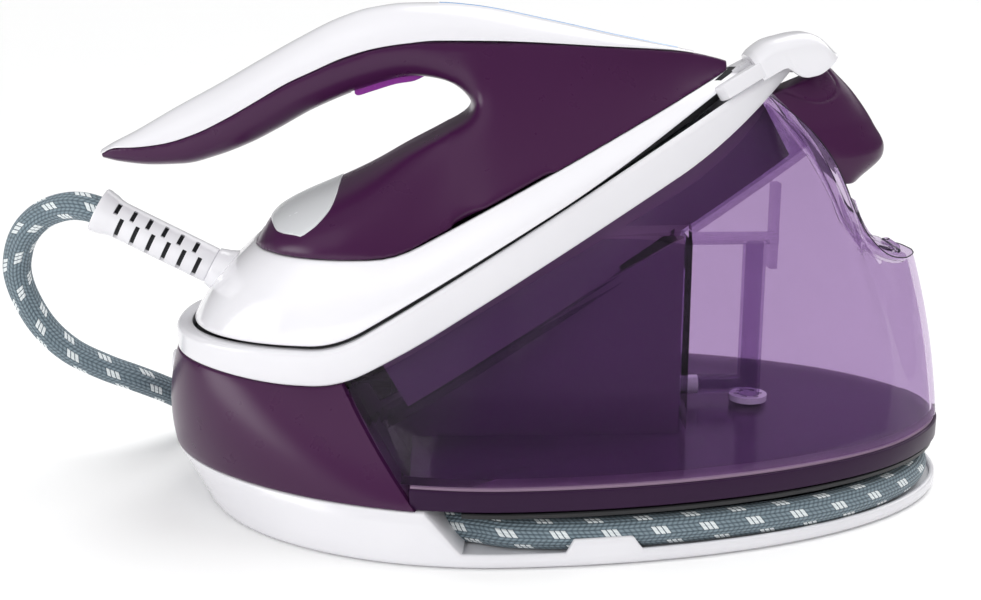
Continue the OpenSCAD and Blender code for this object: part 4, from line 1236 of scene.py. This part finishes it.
def make_strip():
    """The pale blue inlay along the front of the handle."""
    sections = []
    for x in steps(-54.2, 52.6, 50):
        h = CROWN(x) - LINE(x) - 0.1
        n = min(1, h / 4) - 0.05
        w = min(2.3, GRIP(x) / 6)
        z = CROWN(x)
        sections.append([(x, -w, z - n), (x, -w, z), (x, -w * 0.7, z + 0.22), (x, w * 0.7, z + 0.22), (x, w, z),
                         (x, w, z - n)])
    piece("strip", skin(sections), "blue_accent", "iron", "handle_strip")


BADGE_REAR = [(-131.5, 0), (-130.5, 12), (-127, 30), (-122.5, 38.5), (-114.5, 46)]
BADGE_FRONT = [(-112.5, 46.3), (-107, 44.5), (-102, 38), (-100, 27), (-99.5, 12), (-99.5, 0)]
BADGE_MIDDLE = (-115, 0)


def dome_point(x, y, up):
    """Point of the heel's dome above (x, y), moved out by up."""
    def height(u, v):
        z0 = shell_low(u) + 0.4
        w = leaf_y(u, SHELL_O) + 0.3
        return z0 + dome(DECK(u) - z0, min(1, abs(v) / w), 2.2)
    z, e = height(x, y), 0.05
    n = Vector(((height(x - e, y) - height(x + e, y)) / (2 * e),
                (height(x, y - e) - height(x, y + e)) / (2 * e), 1))
    return tuple(Vector((x, y, z)) + n.normalized() * up)


def make_badge():
    """White inlay over the heel of the iron."""
    half = [p for part in (BADGE_REAR, BADGE_FRONT) for p in spline([(x, y, 0) for x, y in part], 10)]
    outline = [(p.x, p.y) for p in half] + [(p.x, -p.y) for p in reversed(half[1:-1])]
    sections = []
    for edge in outline:
        rays = [(mix(BADGE_MIDDLE, edge, r), up) for r, up in
                [(r, 0.5) for r in steps(0, 0.96, 12)] + [(0.985, 0.45), (0.995, 0.3), (1, 0)]]
        rays += [(mix(BADGE_MIDDLE, edge, r), -0.8) for r in (1, 0.75, 0.5, 0.25, 0)]
        sections.append([dome_point(x, y, up) for (x, y), up in rays])
    piece("badge", skin(sections, loop=True, ring=False), "badge_plastic", "iron", "heel_badge")


def make_trigger():
    under = spline([(-32.2, -12.4, 0), (-30.4, -13.4, 0), (-24, -11.5, 0), (-14, -8.5, 0), (-6, -7.2, 0),
                    (-1, -5, 0)], 5)
    profile = [(p.x, p.y) for p in under] + [(0, -3), (0, 3), (-4, 3), (-16, -0.6), (-30, -4.5), (-32.2, -9)]
    x0, z0 = TRIGGER_PIVOT[0], TRIGGER_PIVOT[2]
    trigger = solid("trigger_key", slab([(x0 + x, z0 + z) for x, z in profile], 7), bevel=0.9, angle=30)
    combine(trigger, "UNION", solid("boss", placed(rod(3, 0, 14, 32), (x0, -7, z0), ACROSS_Y)))
    combine(trigger, "DIFFERENCE", solid("bore", placed(rod(1.55, 0, 40, 32), (x0, -20, z0), ACROSS_Y)))
    shade(trigger.data, 35)
    declare(trigger, "magenta_plastic", "trigger", "steam_trigger")
    axle = turned([(0, 0), (1.2, 0), (1.5, 0.3), (1.5, 24.7), (1.2, 25), (0, 25)], 24)
    piece("trigger_axle", placed(axle, (x0, -12.5, z0), ACROSS_Y), "plate_steel", "iron", "trigger_pin")


SLOTS, SLOT_PITCH, SLOT_W = 6, 7.7, 2.0


def make_relief():
    """Bend relief of the hose: a ribbed sleeve with a flared mouth."""
    r, mouth, end, lip = RELIEF_D / 2, MOUTH_D / 2, RELIEF_LEN, RELIEF_LEN + FLANGE_H
    body = turned([(0, 0), (r - 0.6, 0), (r, 0.6), (r, end - 7), (r + 0.4, end - 4.5), (r + 1.4, end - 1.5),
                   (10.2, end + 0.6), (10.5, end + 1.4), (10.5, lip - 0.5), (10.1, lip), (mouth + 0.3, lip),
                   (mouth, lip - 0.3), (mouth, end), (0, end)], 96)
    relief = solid("bend_relief", body)
    for side in (-1, 1):
        for i in range(SLOTS):
            low = 5 + SLOT_PITCH * i
            for start, lower, upper in ((low, -9.2, 3), (low + SLOT_PITCH / 2, 3.6, 7.9)):
                block = [(lower, side * 1.2), (upper, side * 1.2), (upper, side * 12), (lower, side * 12)]
                cut = solid("slot", prism(block, start, start + SLOT_W), bevel=0.2, angle=50)
                combine(relief, "DIFFERENCE", cut)
    lean = RELIEF_AXIS.to_track_quat("Z", "X").to_matrix().to_4x4()
    relief.data.transform(Matrix.Translation(RELIEF_AT * MM) @ lean)
    shade(relief.data, 35)
    declare(relief, "white_plastic", "iron", "hose_relief")
    sleeve = turned([(0, 2), (6.3, 2), (6.9, 2.6), (6.9, end - 2.6), (6.3, end - 2), (0, end - 2)], 64)
    piece("relief_sleeve", placed(sleeve, RELIEF_AT, RELIEF_AXIS), "black_rubber", "iron")


make_skirt()
make_shadow_ring()
make_shell()
make_cover()
make_strip()
make_badge()
make_trigger()
make_relief()


# ---------------------------------------------------------------- controls at the heel
def button(name, node, x, z, r, length, body):
    profile = [(0, 0), (r - 1.1, 0.25), (r - 0.4, 0.6), (r, 1.3), (r, length), (0, length)]
    piece(name, placed(turned(profile, 64), (x, 0, z), ALONG_X), "white_plastic", body, node)


def make_knob():
    """Grip-edged cap of the descaling outlet."""
    shaft = rod(6.9, -14, 7, 64)
    knob = solid("knob_shaft", placed(shaft, KNOB_AT, KNOB_AXIS))
    head = turned([(0, 6), (11.4, 6), (12, 6.6), (12, 11.2), (11.2, 12), (9.5, 12), (9, 11.4), (0, 11.4)], 96)
    combine(knob, "UNION", solid("head", placed(head, KNOB_AT, KNOB_AXIS)))
    for i in range(12):
        a = math.radians(30 * i)
        flute = [(2 * math.cos(t) + 13 * math.cos(a), 2 * math.sin(t) + 13 * math.sin(a))
                 for t in steps(0, 2 * math.pi, 16)[:-1]]
        combine(knob, "DIFFERENCE", solid("flute", placed(prism(flute, 5, 14), KNOB_AT, KNOB_AXIS)))
    shade(knob.data, 35)
    declare(knob, "black_plastic", "knob", "decalc_knob")


button("power_key", "power_button", -180.2, BUTTON_Z, 6, 9, "power")
button("eco_key", "eco_button", -182, ECO_Z, 4.5, 12, "eco")
make_knob()


# ---------------------------------------------------------------- materials of the CAD pieces that stay
KEPT = {
    "black_rubber": ["rubber_feet", "rest_pads", "pump_mounts", "valve_seal"],
    "dark_plastic": ["inner_housing"],
    "plate_steel": ["rest_plate", "boiler", "base_screws", "lid_pin", "iron_screws"],
    "brass": ["boiler_heater", "steam_valve"],
    "white_plastic": ["boiler_thermostat", "tank_coupling", "tank_valve", "intake_filter", "iron_thermostat",
                      "lock_tongue"],
    "pump_body": ["pump"],
    "tubing": ["suction_tube", "pressure_tube", "steam_tube", "inlet_tube"],
    "board": ["circuit_board"],
    "black_plastic": ["power_gland", "hose_socket", "control_panel", "micro_switch"],
    "clear_tank": ["intake_pipe"],
    "soleplate_steel": ["soleplate"],
    "cast_aluminium": ["steam_chamber"],
}
for finish, names in KEPT.items():
    for name in names:
        nodes[name].data.materials.clear()
        nodes[name].data.materials.append(MAT[finish])


# ---------------------------------------------------------------- floor and light
def make_floor():
    floor = solid("floor", ([(-40000, -40000, 0), (40000, -40000, 0), (40000, 40000, 0), (-40000, 40000, 0)],
                            [(0, 1, 2, 3)]))
    n = Nodes("floor")
    n.set(Base_Color=n.blend(n.noise(3, 2), srgb("#fbfbfb"), srgb("#fcfcfc")), Roughness=0.9)
    floor.data.materials.append(n.material)


def area_light(name, place, target, size, power, shape_y=None):
    data = bpy.data.lights.new(name, "AREA")
    data.energy = power
    data.shape = "RECTANGLE"
    data.size = size
    data.size_y = shape_y or size
    light = bpy.data.objects.new(name, data)
    light.location = place
    light.rotation_euler = (Vector(place) - Vector(target)).to_track_quat("Z", "Y").to_euler()
    light.visible_glossy = False
    bpy.context.collection.objects.link(light)


DOME = 0.68                                # light of the white dome
REFLECTED_LOW, REFLECTED_HIGH = 0.1, 0.3   # what glossy surfaces see of it, at the horizon and overhead
REFLECTED_LAMPS = [                        # and the soft lamps in it: direction, edge and core cosines, power
    ((-0.93, -0.3, 0.05), 0.9, 0.985, 5.5),
    ((-0.55, -0.5, 0.7), 0.86, 0.98, 0.8)]


def make_world():
    """White studio: white behind the object, softer for its light, and mostly dark in reflections."""
    world = bpy.data.worlds.new("studio")
    bpy.context.scene.world = world
    world.use_nodes = True
    tree = world.node_tree
    nodes_of, link = tree.nodes, tree.links.new
    back = nodes_of["Background"]
    path = nodes_of.new("ShaderNodeLightPath")
    place = nodes_of.new("ShaderNodeTexCoord")
    split = nodes_of.new("ShaderNodeSeparateXYZ")
    link(place.outputs["Generated"], split.inputs[0])
    height = nodes_of.new("ShaderNodeMapRange")
    height.inputs["From Min"].default_value = 0.05
    height.inputs["From Max"].default_value = 0.95
    height.inputs["To Min"].default_value = REFLECTED_LOW
    height.inputs["To Max"].default_value = REFLECTED_HIGH
    link(split.outputs[2], height.inputs["Value"])

    def choose(test, no, yes):
        mixer = nodes_of.new("ShaderNodeMix")
        link(test, mixer.inputs["Factor"])
        for value, socket in ((no, mixer.inputs["A"]), (yes, mixer.inputs["B"])):
            if isinstance(value, (int, float)):
                socket.default_value = value
            else:
                link(value, socket)
        return mixer.outputs["Result"]

    glow = height.outputs[0]
    for direction, edge, core, power in REFLECTED_LAMPS:
        toward = nodes_of.new("ShaderNodeVectorMath")
        toward.operation = "DOT_PRODUCT"
        link(place.outputs["Generated"], toward.inputs[0])
        toward.inputs[1].default_value = Vector(direction).normalized()
        lamp = nodes_of.new("ShaderNodeMapRange")
        lamp.interpolation_type = "SMOOTHSTEP"
        lamp.inputs["From Min"].default_value = edge
        lamp.inputs["From Max"].default_value = core
        lamp.inputs["To Max"].default_value = power
        link(toward.outputs["Value"], lamp.inputs["Value"])
        total = nodes_of.new("ShaderNodeMath")
        link(glow, total.inputs[0])
        link(lamp.outputs[0], total.inputs[1])
        glow = total.outputs[0]
    reflected = choose(path.outputs["Is Glossy Ray"], DOME, glow)
    through = choose(path.outputs["Is Transmission Ray"], reflected, 1.0)
    link(choose(path.outputs["Is Camera Ray"], through, 1.0), back.inputs["Strength"])
    back.inputs["Color"].default_value = (1, 1, 1, 1)


def make_light():
    make_world()
    sun = bpy.data.lights.new("sky_light", "SUN")
    sun.energy = 1.55
    sun.angle = math.radians(60)
    obj = bpy.data.objects.new("sky_light", sun)
    obj.rotation_euler = (math.radians(-28), math.radians(30), 0)
    bpy.context.collection.objects.link(obj)
    area_light("side_box", (-0.45, -0.75, 0.35), (-0.1, 0, 0.08), 0.3, 2.2, 0.7)
    area_light("top_box", (0.1, -0.2, 0.9), (0, 0, 0.1), 0.7, 1.6)


make_floor()
make_light()
bpy.context.scene.view_settings.view_transform = "Standard"
